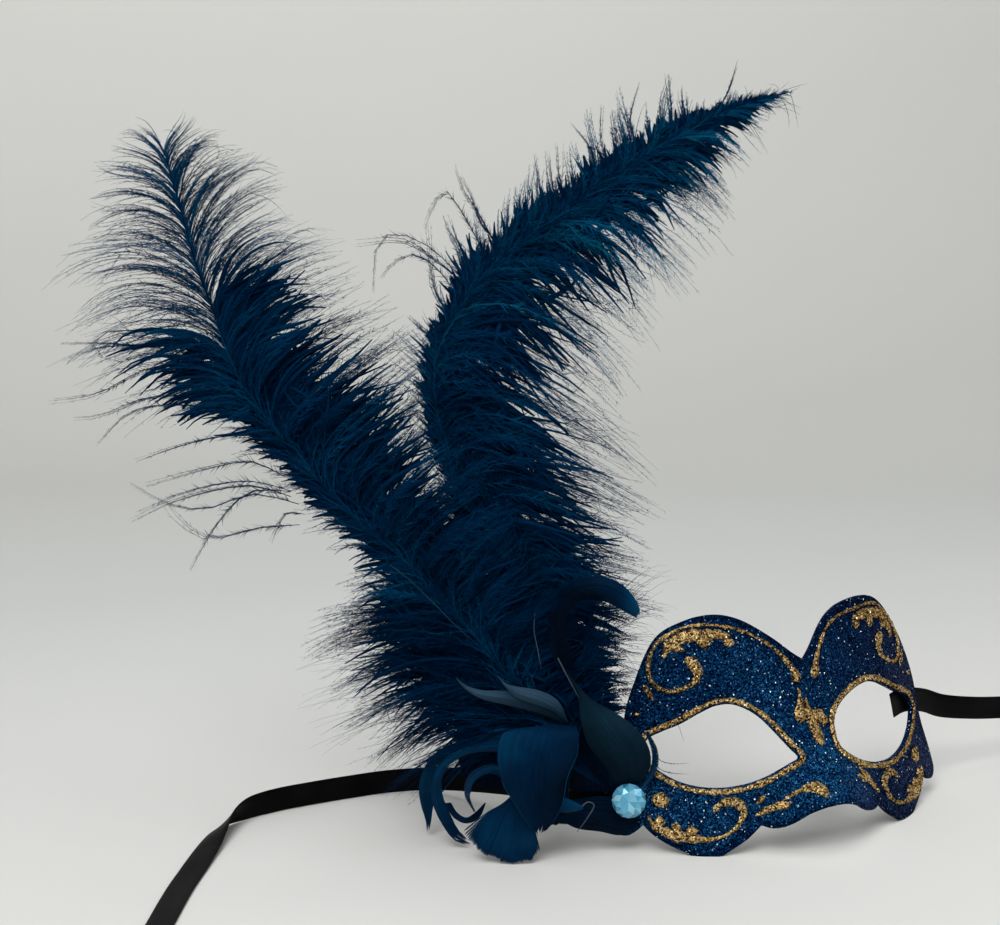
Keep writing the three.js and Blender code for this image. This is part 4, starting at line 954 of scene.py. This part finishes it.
# Plumes: a shaft with barbs on both sides. A row of outer and inner is a station along the shaft and the way
# from there to the tips of its barbs: across, up and toward the viewer. The other tables are by station:
# dense and split spread barbs and locks, loose frees a barb from its lock, lead and droop bend it, bare is
# its share without barbules, fine thins it, shade is painted shade added to its tone, darkest at the root.
PLUMES = {
    "plume_left": {
        "shaft": [
            (-9.6, 5, 23.2), (-3.6, 4, 31), (9, 0.2, 47), (25, -1.6, 64), (40, -1, 82), (62, 0, 108),
            (87, 1, 131), (107, 2, 153), (121, 3, 172), (130, 3, 187), (137, 3, 206), (144, 3, 226),
            (150, 2, 249), (155, 0, 267)],
        "outer": [
            (0.08, 72, -14, -18), (0.12, 84, -14, -20), (0.16, 88, -10, -18), (0.2, 82, -4, -16),
            (0.24, 74, 3, -12), (0.3, 50, 0, -8), (0.36, 34, 4, -4), (0.42, 30, 9, 0), (0.5, 27, 12, 0),
            (0.58, 30, 14, 0), (0.63, 36, 12, 0), (0.66, 60, -3, 0), (0.7, 64, 2, 0), (0.75, 61, 2, 0),
            (0.79, 56, 4, 0), (0.84, 50, 8, 0), (0.89, 40, 9, 0), (0.94, 28, 12, 0), (0.97, 20, 13, 0),
            (1.0, 9, 13, 0)],
        "inner": [
            (0.05, -13, 17, 0), (0.16, -23, 25, 0), (0.24, -30, 31, 0), (0.3, -31, 37, 0),
            (0.36, -33, 40, 0), (0.47, -38, 47, 0), (0.53, -44, 50, 0), (0.6, -46, 46, 0),
            (0.66, -42, 46, 0), (0.71, -42, 42, 0), (0.75, -41, 41, 0), (0.79, -38, 34, 0),
            (0.84, -35, 33, 0), (0.89, -26, 30, 0), (0.94, -20, 20, 0), (0.97, -17, 17, 0),
            (1.0, -7, 14, 0)],
        "droop": {"outer": [(0, 0.5), (0.6, 0.6), (0.8, 0.75), (1, 0.5)],
                  "inner": [(0, 0.1), (0.6, 0.2), (0.8, 0.6), (1, 0.3)]},
        "lead": {"outer": [(0, 0.75), (0.6, 0.8), (0.8, 1.3), (1, 1.3)],
                 "inner": [(0, 0.55), (0.6, 0.55), (0.8, 0.9), (1, 1)]},
        "bare": [(0, 0), (0.66, 0.0), (0.78, 0.12), (0.9, 0.14), (1, 0.05)],
        "covered": (0.05, 0.72), "covers": 340, "crossed": (0.06, 0.66), "crossing": 170,
        "dense": {"outer": [(0.08, 3), (0.25, 2.6), (0.34, 1), (0.64, 1), (0.72, 1.3), (1, 1.3)],
                  "inner": [(0, 1.3), (0.5, 1), (0.72, 1), (0.8, 1.2), (1, 1.2)]},
        "split": [(0, 1), (0.62, 1), (0.72, 2), (1, 2)], "fine": [(0, 0), (0.62, 0), (0.76, 1), (1, 1)],
        "loose": [(0, 0.2), (0.66, 0.2), (0.78, 0.6), (1, 0.6)],
        "shade": [(0, -0.45), (0.2, -0.3), (0.4, 0), (1, 0)],
        "downy": {"outer": (0.08, 0.74), "inner": (0.05, 0.8)}, "down": 500,
        "tufts": [(150, (0, 0.1), [(24, -3, 25), (54, 1, 68), (2, 0, 34)]),
                  (150, (0.2, 0.55), [(44, -4, 24), (80, 1, 62), (14, 0, 48)])],
        "depth": 2, "skin": shaft_dark,
        "strays": [
            [(144, 191), (166, 186), (183, 177), (201, 174)],
            [(139, 177), (163, 177), (182, 170), (192, 169)],
            [(135, 172), (156, 174), (172, 170), (183, 159)],
            [(126, 162), (136, 162), (152, 158), (169, 152)],
            [(113, 146), (126, 152), (145, 149), (166, 143)],
            [(111, 141), (126, 145), (149, 141), (168, 133)],
            [(111, 139), (126, 143), (153, 138), (172, 129)],
            [(108, 136), (125, 140), (144, 134), (158, 136), (172, 144)],
            [(108, 128), (122, 127), (143, 123), (153, 130), (159, 138)],
            [(111, 141), (126, 141), (140, 127), (150, 110)],
            [(106, 132), (113, 132), (116, 128), (119, 121)],
            [(147, 198), (162, 196), (179, 197), (196, 197)],
            [(151, 194), (173, 196), (186, 194), (192, 190)],
            [(142, 205), (162, 202), (181, 200), (184, 196), (179, 191), (173, 190)]],
        "even": {"outer": 0.8, "inner": 0.8}, "count": 1060, "wisps": {"outer": 80, "inner": 130},
        "fringe": [(60, [(72, -6, 34), (112, 2, 84), (40, 0, 60)])],
    },
    "plume_right": {
        "shaft": [
            (-17, 3.1, 31), (-9, 0.6, 40), (1, -4.4, 52), (10, -7.6, 73), (24, -9, 100), (44, -10, 136),
            (55, -10, 163), (57, -10, 186), (49, -10, 208), (36, -10, 224), (10, -9, 244), (-12, -8, 260),
            (-27, -8, 269), (-49, -7, 281), (-73, -6, 288.5)],
        "outer": [
            (0.05, 12, 18, 0), (0.15, 15, 20, 0), (0.24, 23, 22, 0), (0.35, 22, 22, 0), (0.44, 17, 18, 0),
            (0.5, 11, 14, 0), (0.57, 7, 17, 0), (0.6, 7, 40, 0), (0.63, -8, 32, 0), (0.66, -9, 37, 0),
            (0.7, -4, 31, 0), (0.74, 0, 27, 0), (0.78, 2, 28, 0), (0.82, 0, 27, 0), (0.86, -2, 24, 0),
            (0.9, -3, 12, 0), (0.94, -6, 8, 0), (0.97, -5, 4, 0), (1.0, -2, 1, 0)],
        "inner": [
            (0.06, -18, 12, 0), (0.15, -36, 8, 0), (0.19, -46, 6, 0), (0.24, -56, 4, 0), (0.3, -64, 0, 0),
            (0.36, -74, -6, 0), (0.42, -79, -11, 0), (0.47, -80, -17, 0), (0.52, -77, -23, 0),
            (0.57, -69, -29, 0), (0.63, -61, -27, 0), (0.69, -59, -24, 0), (0.74, -55, -20, 0),
            (0.79, -46, -16, 0), (0.83, -38, -13, 0), (0.88, -28, -7, 0), (0.92, -22, -3, 0),
            (0.96, -12, -1, 0), (1.0, -3, 0, 0)],
        "droop": {"outer": [(0, 0), (1, 0)],
                  "inner": [(0, 0.2), (0.4, 0.4), (0.6, 0.6), (0.85, 0.8), (1, 0.3)]},
        "lead": {"outer": [(0, 0.8), (1, 0.8)], "inner": [(0, 1.15), (1, 1.15)]},
        "bare": [(0, 0), (1, 0)],
        "covered": (0.03, 0.88), "covers": 320, "crossed": (0.06, 0.9), "crossing": 180,
        "dense": {"outer": [(0, 1), (1, 1)], "inner": [(0, 2.2), (0.25, 1.8), (0.4, 1), (1, 0.9)]},
        "split": [(0, 1), (1, 1)], "fine": [(0, 0), (0.85, 0), (1, 0.5)],
        "loose": [(0, 0.2), (1, 0.2)],
        "shade": [(0, -0.4), (0.2, -0.25), (0.45, 0.05), (0.7, 0.2), (1, 0.2)],
        "downy": {"outer": (0.05, 0.97), "inner": (0.06, 0.97)}, "down": 480,
        "tufts": [(60, (0, 0.2), [(-12, -6, 40), (22, -2, 100), (0, -4, 50)]),
                  (150, (0.1, 0.45), [(36, -9, 94), (62, -3, 166), (16, -6, 74)]),
                  (70, (0.1, 0.45), [(46, -9, 120), (61, -4, 160), (40, -9, 114)])],
        "depth": -8, "skin": quill_blue,
        "strays": [
            [(36, 226), (40, 233), (46, 244), (53, 253), (58, 247), (61, 239)],
            [(43, 216), (55, 229), (64, 235), (73, 237), (78, 233), (80, 215)],
            [(43, 216), (55, 226), (68, 234), (86, 233)],
            [(47, 212), (55, 223), (64, 229), (72, 226), (77, 220)],
            [(49, 205), (55, 212), (58, 223), (59, 240)], [(32, 229), (40, 244), (46, 253), (49, 262)],
            [(30, 231), (39, 240), (43, 251), (47, 258)], [(49, 205), (57, 201), (62, 195), (68, 193)],
            [(21, 236), (25, 247), (27, 254)], [(15, 240), (17, 253), (19, 266)],
            [(10, 245), (13, 255), (15, 267)], [(6, 247), (10, 257), (11, 270)],
            [(-5, 255), (-1, 268), (6, 277)], [(-9, 258), (-5, 271), (-5, 284)],
            [(-20, 266), (-16, 278), (-19, 292)], [(-29, 271), (-27, 282), (-30, 294)],
            [(-49, 283), (-52, 289), (-55, 298)]],
        "even": {"outer": 0.35, "inner": 0.75}, "count": 1000, "wisps": {"outer": 40, "inner": 200},
        "fringe": [(90, [(-36, -6, 58), (-14, 2, 112), (2, -2, 72)])],
    },
}


STRAND_POINTS, CLUMPS, CORE = 9, 165, 170
SIDE_BARBULES = 52
SHAFT_TAPER = [(0, 1.1), (0.5, 0.7), (1, 0.2)]
STRAND_TAPER = [(0, 1), (0.5, 0.8), (1, 0.15)]
BARBULE_LENGTH = [(0, 0.8), (0.25, 1), (0.55, 0.8), (0.8, 0.5), (1, 0.2)]
BARBULE_FOOT = [(0, 0.28), (0.5, 0.25), (0.8, 0.16), (1, 0.1)]
# Strands by kind: tone, number and length of barbules, half width, half thickness and fineness.
# A pair is a range.
STRANDS = {
    "core": ((0, 0.3), 0, 0, (1.8, 3), 0.1, 0),
    "down": ((0.1, 0.45), 26, (3, 4.6), (0.8, 1.6), 0.12, 0),
    "tufts": (None, 54, (2.6, 4.4), (0.2, 0.4), 0.14, 0.3),
    "wisps": ((0.2, 0.6), 10, 1.6, 0.1, 0.1, 1),
    "cover": ((0.3, 0.75), 34, (1.6, 2.8), 0.2, 0.2, 0),
}


def bezier(p0, p1, p2, p3):
    t = np.linspace(0, 1, STRAND_POINTS)[None, :, None]
    p0, p1, p2, p3 = (p[:, None, :] for p in (p0, p1, p2, p3))
    return (1 - t) ** 3 * p0 + 3 * (1 - t) ** 2 * t * p1 + 3 * (1 - t) * t ** 2 * p2 + t ** 3 * p3


def across_strand(points):
    """Tangent, lateral and normal along strands of points."""
    tangent = unit(np.gradient(points, axis=1))
    lateral = unit(np.cross(tangent, TOWARD + 0.02))
    return tangent, lateral, np.cross(lateral, tangent)


def tube_mesh(points, broad, thick):
    """Three-sided tapered tubes, as verts and triangles, from half sizes by strand and point."""
    n, k = points.shape[:2]
    _, lateral, normal = across_strand(points)
    angle = 2 * math.pi / 3
    broad, thick = broad[..., None], thick[..., None]
    verts = np.stack([points + thick * math.cos(m * angle) * normal + broad * math.sin(m * angle) * lateral
                      for m in range(3)], axis=2)
    return verts.reshape(-1, 3), three_sided(n, k)[:, [0, 1, 2, 0, 2, 3]].reshape(-1, 3)


def barbule_mesh(points, count, fuzz, bare, fine):
    """Thin pointed barbules along strands: broad and long near the shaft, short and fine at the tips."""
    n, k = points.shape[:2]
    tangent, lateral, normal = across_strand(points)
    where = bare[:, None] + (0.995 - bare[:, None]) * random.uniform(0, 1, (n, count)) ** 1.1
    at = where * (k - 1)
    root, ahead, sideways, out = (between(array, at) for array in (points, tangent, lateral, normal))
    ahead = unit(ahead)
    spin = random.uniform(0, 2 * math.pi, (n, count, 1))
    outward = np.cos(spin) * sideways + 0.6 * np.sin(spin) * out
    opening = np.radians(random.uniform(16, 52, (n, count, 1)))
    heading = unit(ahead * np.cos(opening) + outward * np.sin(opening))
    fuzz, fine = fuzz[:, None], fine[:, None]
    size = lookup(BARBULE_LENGTH, where) * random.uniform(0.6, 1.3, (n, count)) * fuzz * (1 - 0.45 * fine)
    foot = (lookup(BARBULE_FOOT, where) * (1 - 0.35 * fine))[..., None]
    foot = unit(ahead + 0.6 * np.cross(heading, outward)) * foot
    return np.stack([root - foot, root + foot, root + heading * size[..., None]], axis=2).reshape(-1, 3)


def shaft_of(spec):
    shaft = spaced(catmull(spec["shaft"], 400), 600)
    return shaft, unit(np.gradient(shaft, axis=0))


def at_station(array, s):
    return np.stack([np.interp(s, np.linspace(0, 1, len(array)), array[:, k]) for k in range(3)], -1)


def swung(ahead, turn, depth):
    """Headings turned in the plane of the fan, each with a depth of its own."""
    a, z = ahead[:, 0], ahead[:, 2]
    return np.stack([a * np.cos(turn) - z * np.sin(turn), depth, a * np.sin(turn) + z * np.cos(turn)], -1)


def side_barbs(spec, side, s, group, size, spread=1.0, deep=1.0):
    """Curves of barbs of one side; barbs of one group run together at their tips."""
    shaft, tangent = shaft_of(spec)
    table = np.array(spec[side], float)
    count, groups = len(s), group.max() + 1
    centre_of = np.bincount(group, s, groups) / np.maximum(np.bincount(group, minlength=groups), 1)
    root, ahead = at_station(shaft, s), unit(at_station(tangent, s))
    own = lookup(spec["loose"], s)
    mid = at_station(shaft, own * s + (1 - own) * centre_of[group])
    reach = np.stack([np.interp(centre_of[group], table[:, 0], table[:, k]) for k in (1, 3, 2)], -1)
    swing = np.radians(spread * random.normal(0, 5.5, groups)[group] + random.normal(0, 2, count))
    reach = swung(reach, swing, reach[:, 1])
    span = np.linalg.norm(reach, axis=1)
    reach[:, 1] += deep * span * (random.normal(0, 0.2, groups)[group] + random.normal(0, 0.05, count))
    tip = mid + reach * size[:, None] + random.normal(0, 0.35, (count, 3))
    span = np.linalg.norm(tip - root, axis=1)[:, None]
    outward = unit(reach)
    lead, droop = (lookup(spec[key][side], s)[:, None] for key in ("lead", "droop"))
    sway = np.c_[np.zeros(count), random.normal(0, 0.25 * deep, count), np.zeros(count)]
    first = root + unit(ahead * lead + outward * 0.8 + sway) * span * 0.42
    curl = droop * (1 + 0.5 * random.normal(0, 1, groups)[group][:, None])
    final = unit(outward - UP * curl + random.normal(0, 0.05, (count, 3)))
    return bezier(root, first, tip - final * span * 0.36, tip)


def stations(first, table, count):
    """Sorted stations from first to the tip, spread by the weights of a table of station and weight."""
    where = np.linspace(first, 1.0, 200)
    weight = np.cumsum(lookup(table, where))
    even = (np.arange(count) + random.uniform(0, 1, count)) / count
    return np.interp(weight[0] + even * (weight[-1] - weight[0]), weight, where)


def grouped(spec, side, count, groups):
    first = spec[side][0][0]
    s = stations(first, spec["dense"][side], count)
    _, group = np.unique(np.searchsorted(stations(first, spec["split"], groups - 1), s), return_inverse=True)
    return s, group


def cross_barbs(spec, curves, s, count):
    """Down that lies across the barbs of one side and closes the gaps between them."""
    low, high = spec["crossed"]
    pick = random.choice(np.flatnonzero((s > low) & (s < high)), count)
    at = random.integers(1, 4, count)
    start = curves[pick, at]
    ahead = unit(at_station(shaft_of(spec)[1], s[pick]))
    turn = np.radians(random.normal(0, 22, count))
    heading = swung(ahead, turn, random.normal(0, 0.1, count))
    start[:, 1] = 0.3 * start[:, 1] + 0.7 * at_station(shaft_of(spec)[0], s[pick])[:, 1]
    length = np.clip(random.uniform(0.26, 0.46, count) * along_all(curves[pick]), 5, 22)[:, None]
    bend = random.normal(0, 0.4, (count, 3)) * np.array([1, 0.3, 1])
    second = start + heading * length * 0.6
    return bezier(start, start + heading * length * 0.3, second, second + unit(heading + bend) * length * 0.4)


def stray_barbs(rows, depth):
    curves = []
    for row in rows:
        points = [(a, depth + random.normal(0, 1), z) for a, z in row]
        curves.append(spaced(catmull(points, 60), STRAND_POINTS))
    twins = [c + np.linspace(0, 1, STRAND_POINTS)[:, None] * random.normal(0, 0.7, 3) for c in curves * 2]
    return np.array(curves + twins)


def cover_barbs(spec, count):
    """Barbs that lie along the front and back of the shaft and hide it."""
    low, high = spec["covered"]
    shaft, tangent = shaft_of(spec)
    s = random.uniform(low, high, count)
    root, ahead = at_station(shaft, s), unit(at_station(tangent, s))
    sideways = np.stack([-ahead[:, 2], np.zeros(count), ahead[:, 0]], -1)
    face = np.where(random.uniform(0, 1, count) < 0.7, 1, -1)[:, None] * np.array([0, 1.0, 0])
    length = random.uniform(16, 34, count)[:, None]
    angle = np.radians(random.normal(0, 26, count))[:, None]
    heading = unit(ahead * np.cos(angle) + sideways * np.sin(angle))
    bend = unit(heading + sideways * random.normal(0, 0.5, count)[:, None])
    root = root + face * 0.6
    first = root + unit(ahead + face * 0.8) * length * 0.35
    tip = root + heading * length * 0.8 + face * random.uniform(1, 6, count)[:, None]
    return bezier(root, first, tip - bend * length * 0.3, tip)


def tuft_barbs(box, count):
    """Down at the foot of the plume, dark with painted shade, from its root to points spread over a box of a,
    t and z.
    """
    low, high, root = np.array(box, float)
    tip = random.uniform(0, 1, (count, 3)) * (high - low) + low
    start = root + random.normal(0, 1.5, (count, 3))
    rise = np.c_[np.zeros((count, 2)), random.uniform(3, 15, count)]
    return bezier(start, start + (tip - start) * 0.35 + rise, tip + rise * 0.8 - (tip - start) * 0.2, tip)


def wisp_barbs(curves, count):
    """Fine loose hairs that leave other barbs and cross the fringe."""
    parent = curves[random.integers(0, len(curves), count)]
    at = random.integers(STRAND_POINTS // 2 - 1, STRAND_POINTS - 2, count)
    rows = np.arange(count)
    start, ahead = parent[rows, at], unit(parent[rows, at + 1] - parent[rows, at])
    turn = np.radians(random.normal(0, 34, count))
    heading = unit(swung(ahead, turn, ahead[:, 1] + random.normal(0, 0.25, count)))
    bend = np.c_[random.normal(0, 0.5, count), random.normal(0, 0.3, count), random.normal(-0.35, 0.5, count)]
    length = random.uniform(7, 17, count)[:, None]
    first = start + heading * length * 0.4
    second = first + unit(heading + bend) * length * 0.3
    return bezier(start, first, second, second + unit(heading + 2 * bend) * length * 0.3)


def strand_piece(name, node, curves, tone, barbules, fuzz, bare, broad, thick, fine, slot="plume"):
    """Strands with barbules. Each size is one value for all strands or one for each."""
    tone, fuzz, bare, broad, thick, fine = (
        np.broadcast_to(value, len(curves)) for value in (tone, fuzz, bare, broad, thick, fine))
    taper = lookup(STRAND_TAPER, np.linspace(0, 1, STRAND_POINTS))[None, :]
    points = fan(curves)
    verts, tris = tube_mesh(points, broad[:, None] * taper, thick[:, None] * taper)
    shade = np.repeat(tone, len(tris) // len(tone))
    if barbules:
        spikes = barbule_mesh(points, barbules, fuzz, bare, fine)
        tris = np.concatenate([tris, len(verts) + np.arange(len(spikes)).reshape(-1, 3)])
        verts = np.concatenate([verts, spikes])
        shade = np.r_[shade, np.repeat(tone, barbules) + random.normal(0, 0.04, len(tone) * barbules)]
    obj = mesh_object(name, above_floor(verts), tris, plume_blue)
    store(obj, "tone", "FACE", shade)
    settle(obj, slot, node)


def dress(name, kind, curves, tone=None):
    """Strands of one kind of a plume."""
    tones, barbules, fuzz, broad, thick, fine = STRANDS[kind]
    drawn = lambda value: random.uniform(*value, len(curves)) if isinstance(value, tuple) else value
    strand_piece(name + "_" + kind, name, curves, drawn(tones) if tone is None else tone, barbules,
                 drawn(fuzz), 0, drawn(broad), thick, fine)


def plume(name, spec):
    """Both sides with their strays, the strips and down inside, tufts, wisps, cover and shaft."""
    core, down, wisps = [], [], []
    count = spec["count"]
    for side in ("outer", "inner"):
        s, group = grouped(spec, side, count, CLUMPS)
        even = spec["even"][side]
        lengths = even + (1.06 - even) * random.uniform(0, 1, CLUMPS) ** (1 if even > 0.5 else 2.2)
        size = lengths[group] * random.uniform(0.86, 1.02, count)
        size = np.where(random.uniform(0, 1, count) < 0.35, size * random.uniform(0.3, 0.8, count), size)
        # The tone starts from the shade table: painted shade, darkest at the root.
        tone, bare, fine = (lookup(spec[key], s) for key in ("shade", "bare", "fine"))
        tone = 0.5 + tone + 0.13 * random.normal(0, 1, CLUMPS)[group] + 0.05 * random.normal(0, 1, count)
        curves = side_barbs(spec, side, s, group, size)
        wisps.append(wisp_barbs(curves, spec["wisps"][side]))
        down.append(cross_barbs(spec, curves, s, spec["crossing"]))
        if side == "outer":
            extra = stray_barbs(spec["strays"], spec["depth"])
            curves = np.concatenate([curves, extra])
            tone, bare, fine = (np.r_[values, np.full(len(extra), own)]
                                for values, own in ((tone, 0.3), (bare, 0.05), (fine, 0.6)))
        fuzz = np.clip(0.11 * along_all(curves), 0.5, 5.2) * random.uniform(0.75, 1.2, len(curves))
        radius = random.uniform(0.13, 0.21, len(curves)) * (1 - 0.15 * fine)
        strand_piece(name + "_" + side, name, curves, np.clip(tone, 0, 1), SIDE_BARBULES,
                     fuzz, bare, radius, radius, fine)
        low, high = spec["downy"][side]
        soft = stations(low, spec["dense"][side], spec["down"])
        soft = soft[soft < high]
        heart = random.uniform(low, high - 0.03, CORE)
        inward = ((core, heart, (0.3, 0.72), 1.0, 0.2), (down, soft, (0.35, 0.86), 2.0, 0.4))
        for made, s, sizes, spread, deep in inward:
            size = lengths.mean() * random.uniform(*sizes, len(s))
            made.append(side_barbs(spec, side, s, np.arange(len(s)), size, spread, deep))
    dress(name, "core", np.concatenate(core))
    dress(name, "down", np.concatenate(down))
    # The tufts' tones are low: painted shade at the foot of the plume.
    tufts = np.concatenate([tuft_barbs(box, count) for count, _, box in spec["tufts"]])
    tones = [random.uniform(*tone, count) for count, tone, _ in spec["tufts"]]
    dress(name, "tufts", tufts, np.concatenate(tones))
    dress(name, "wisps", np.concatenate(wisps + [tuft_barbs(box, count) for count, box in spec["fringe"]]))
    dress(name, "cover", cover_barbs(spec, spec["covers"]))
    path = spaced(catmull(spec["shaft"], 400), 260)
    quill(name + "_shaft", name, spec["skin"], path, 1.0, SHAFT_TAPER, sides=8, flat=0.8)


for plume_name, plume_spec in PLUMES.items():
    plume(plume_name, plume_spec)

# Three loose barbs of the crescent that cross the end of the eye hole.
EYE_WISPS = [
    [(-23.6, 7.2, 50), (-29, 9, 55.4), (-34.8, 10, 53.1), (-38, 10, 45.1)],
    [(-26.8, 8, 39.4), (-30, 9.4, 37), (-35, 10, 36.4), (-40.4, 10, 36.7)],
    [(-26.8, 8, 37), (-29, 9.4, 34), (-34, 10, 32.6), (-40.5, 10, 32.3)],
]
eye_wisps = np.array([spaced(catmull(rows, 60), STRAND_POINTS) for rows in EYE_WISPS])
strand_piece("eye_crescent_wisps", "eye_crescent", eye_wisps, tone=0.3, barbules=30, fuzz=1.8, bare=0,
             broad=0.16, thick=0.16, fine=1, slot="feather")


# Pale floor that curves up into a backdrop, in metres, and soft studio light. The paper's tone is painted
# light
# and shade: it follows its run from front to back, darkest on the far floor and the foot of the curve and
# lighter toward the front and up the wall, and slopes to one side.
PAPER = {"front": 1.4, "near": 0.5, "back": 0.75, "radius": 0.5, "steps": 24, "high": 1.6, "half": 3.0}
PAPER_RUN, PAPER_LIGHT_SLOPE = (-0.5, 2.0), 0.25
PAPER_LIGHT_AND_SHADE = [
    (0.1, (0.65, 0.655, 0.635)), (0.24, (0.6, 0.605, 0.59)), (0.38, (0.53, 0.54, 0.53)),
    (0.56, (0.53, 0.535, 0.515)), (0.72, (0.62, 0.625, 0.6)), (0.9, (0.8, 0.805, 0.77)),
]
LIGHTS = {
    "key": ((-0.9, -0.9, 1.7), (0, 0, 0.08), 1.2, 27, (1, 0.99, 0.97)),
    "fill": ((1.2, -1.0, 1.0), (0, 0, 0.1), 1.4, 6, (1, 1, 1)),
    "top": ((0.0, -0.1, 1.9), (0, 0, 0), 1.5, 16, (1, 1, 1)),
}
SKY, SKY_STRENGTH = (0.95, 0.97, 1.0, 1), 0.24


def stage():
    back, radius = PAPER["back"], PAPER["radius"]
    profile = [(-PAPER["front"], 0.0), (-PAPER["near"], 0.0)]
    for a in np.linspace(0, math.pi / 2, PAPER["steps"]):
        profile.append((back + radius * math.sin(a), radius * (1 - math.cos(a))))
    profile.append((back + radius, PAPER["high"]))
    turn = math.radians(CAMERA["azimuth"])
    across = np.array([math.cos(turn), math.sin(turn), 0])
    ahead = np.array([-math.sin(turn), math.cos(turn), 0])
    wide = np.linspace(-PAPER["half"], PAPER["half"], 3)
    points = np.array([[across * x + ahead * y + UP * z for x in wide] for y, z in profile])
    n = Nodes("paper", Roughness=0.8, Specular_IOR_Level=0.2)
    scaled = n.add("MapRange", From_Min=PAPER_RUN[0], From_Max=PAPER_RUN[1])
    n.link(n.add("Attribute", attribute_name="run").outputs["Fac"], scaled.inputs["Value"])
    drift = n.range(n.noise(3), -0.02, 0.02)
    # Painted light and shade on the paper, by its run, with a slight noise.
    n.colour(n.combine("Math", "ADD", scaled.outputs["Result"], drift), PAPER_LIGHT_AND_SHADE)
    verts, quads = surface(points, closed_columns=False)
    obj = mesh_object("backdrop", verts / MM - SHIFT, quads, n.material)
    run = along(np.array(profile)) - PAPER["front"]
    store(obj, "run", "POINT", run[:, None] - PAPER_LIGHT_SLOPE * wide)


def area_light(name, place, aim, size, power, colour):
    data = bpy.data.lights.new(name, "AREA")
    data.shape, data.size, data.energy, data.color = "DISK", size, power, colour
    obj = bpy.data.objects.new(name, data)
    bpy.context.scene.collection.objects.link(obj)
    obj.location = place
    obj.rotation_euler = (Vector(aim) - Vector(place)).to_track_quat("-Z", "Y").to_euler()


stage()
for light, how in LIGHTS.items():
    area_light(light, *how)
world = bpy.data.worlds.new("studio")
world.use_nodes = True
sky = world.node_tree.nodes["Background"].inputs
sky["Color"].default_value, sky["Strength"].default_value = SKY, SKY_STRENGTH
bpy.context.scene.world = world
bpy.context.scene.view_settings.view_transform = "Standard"
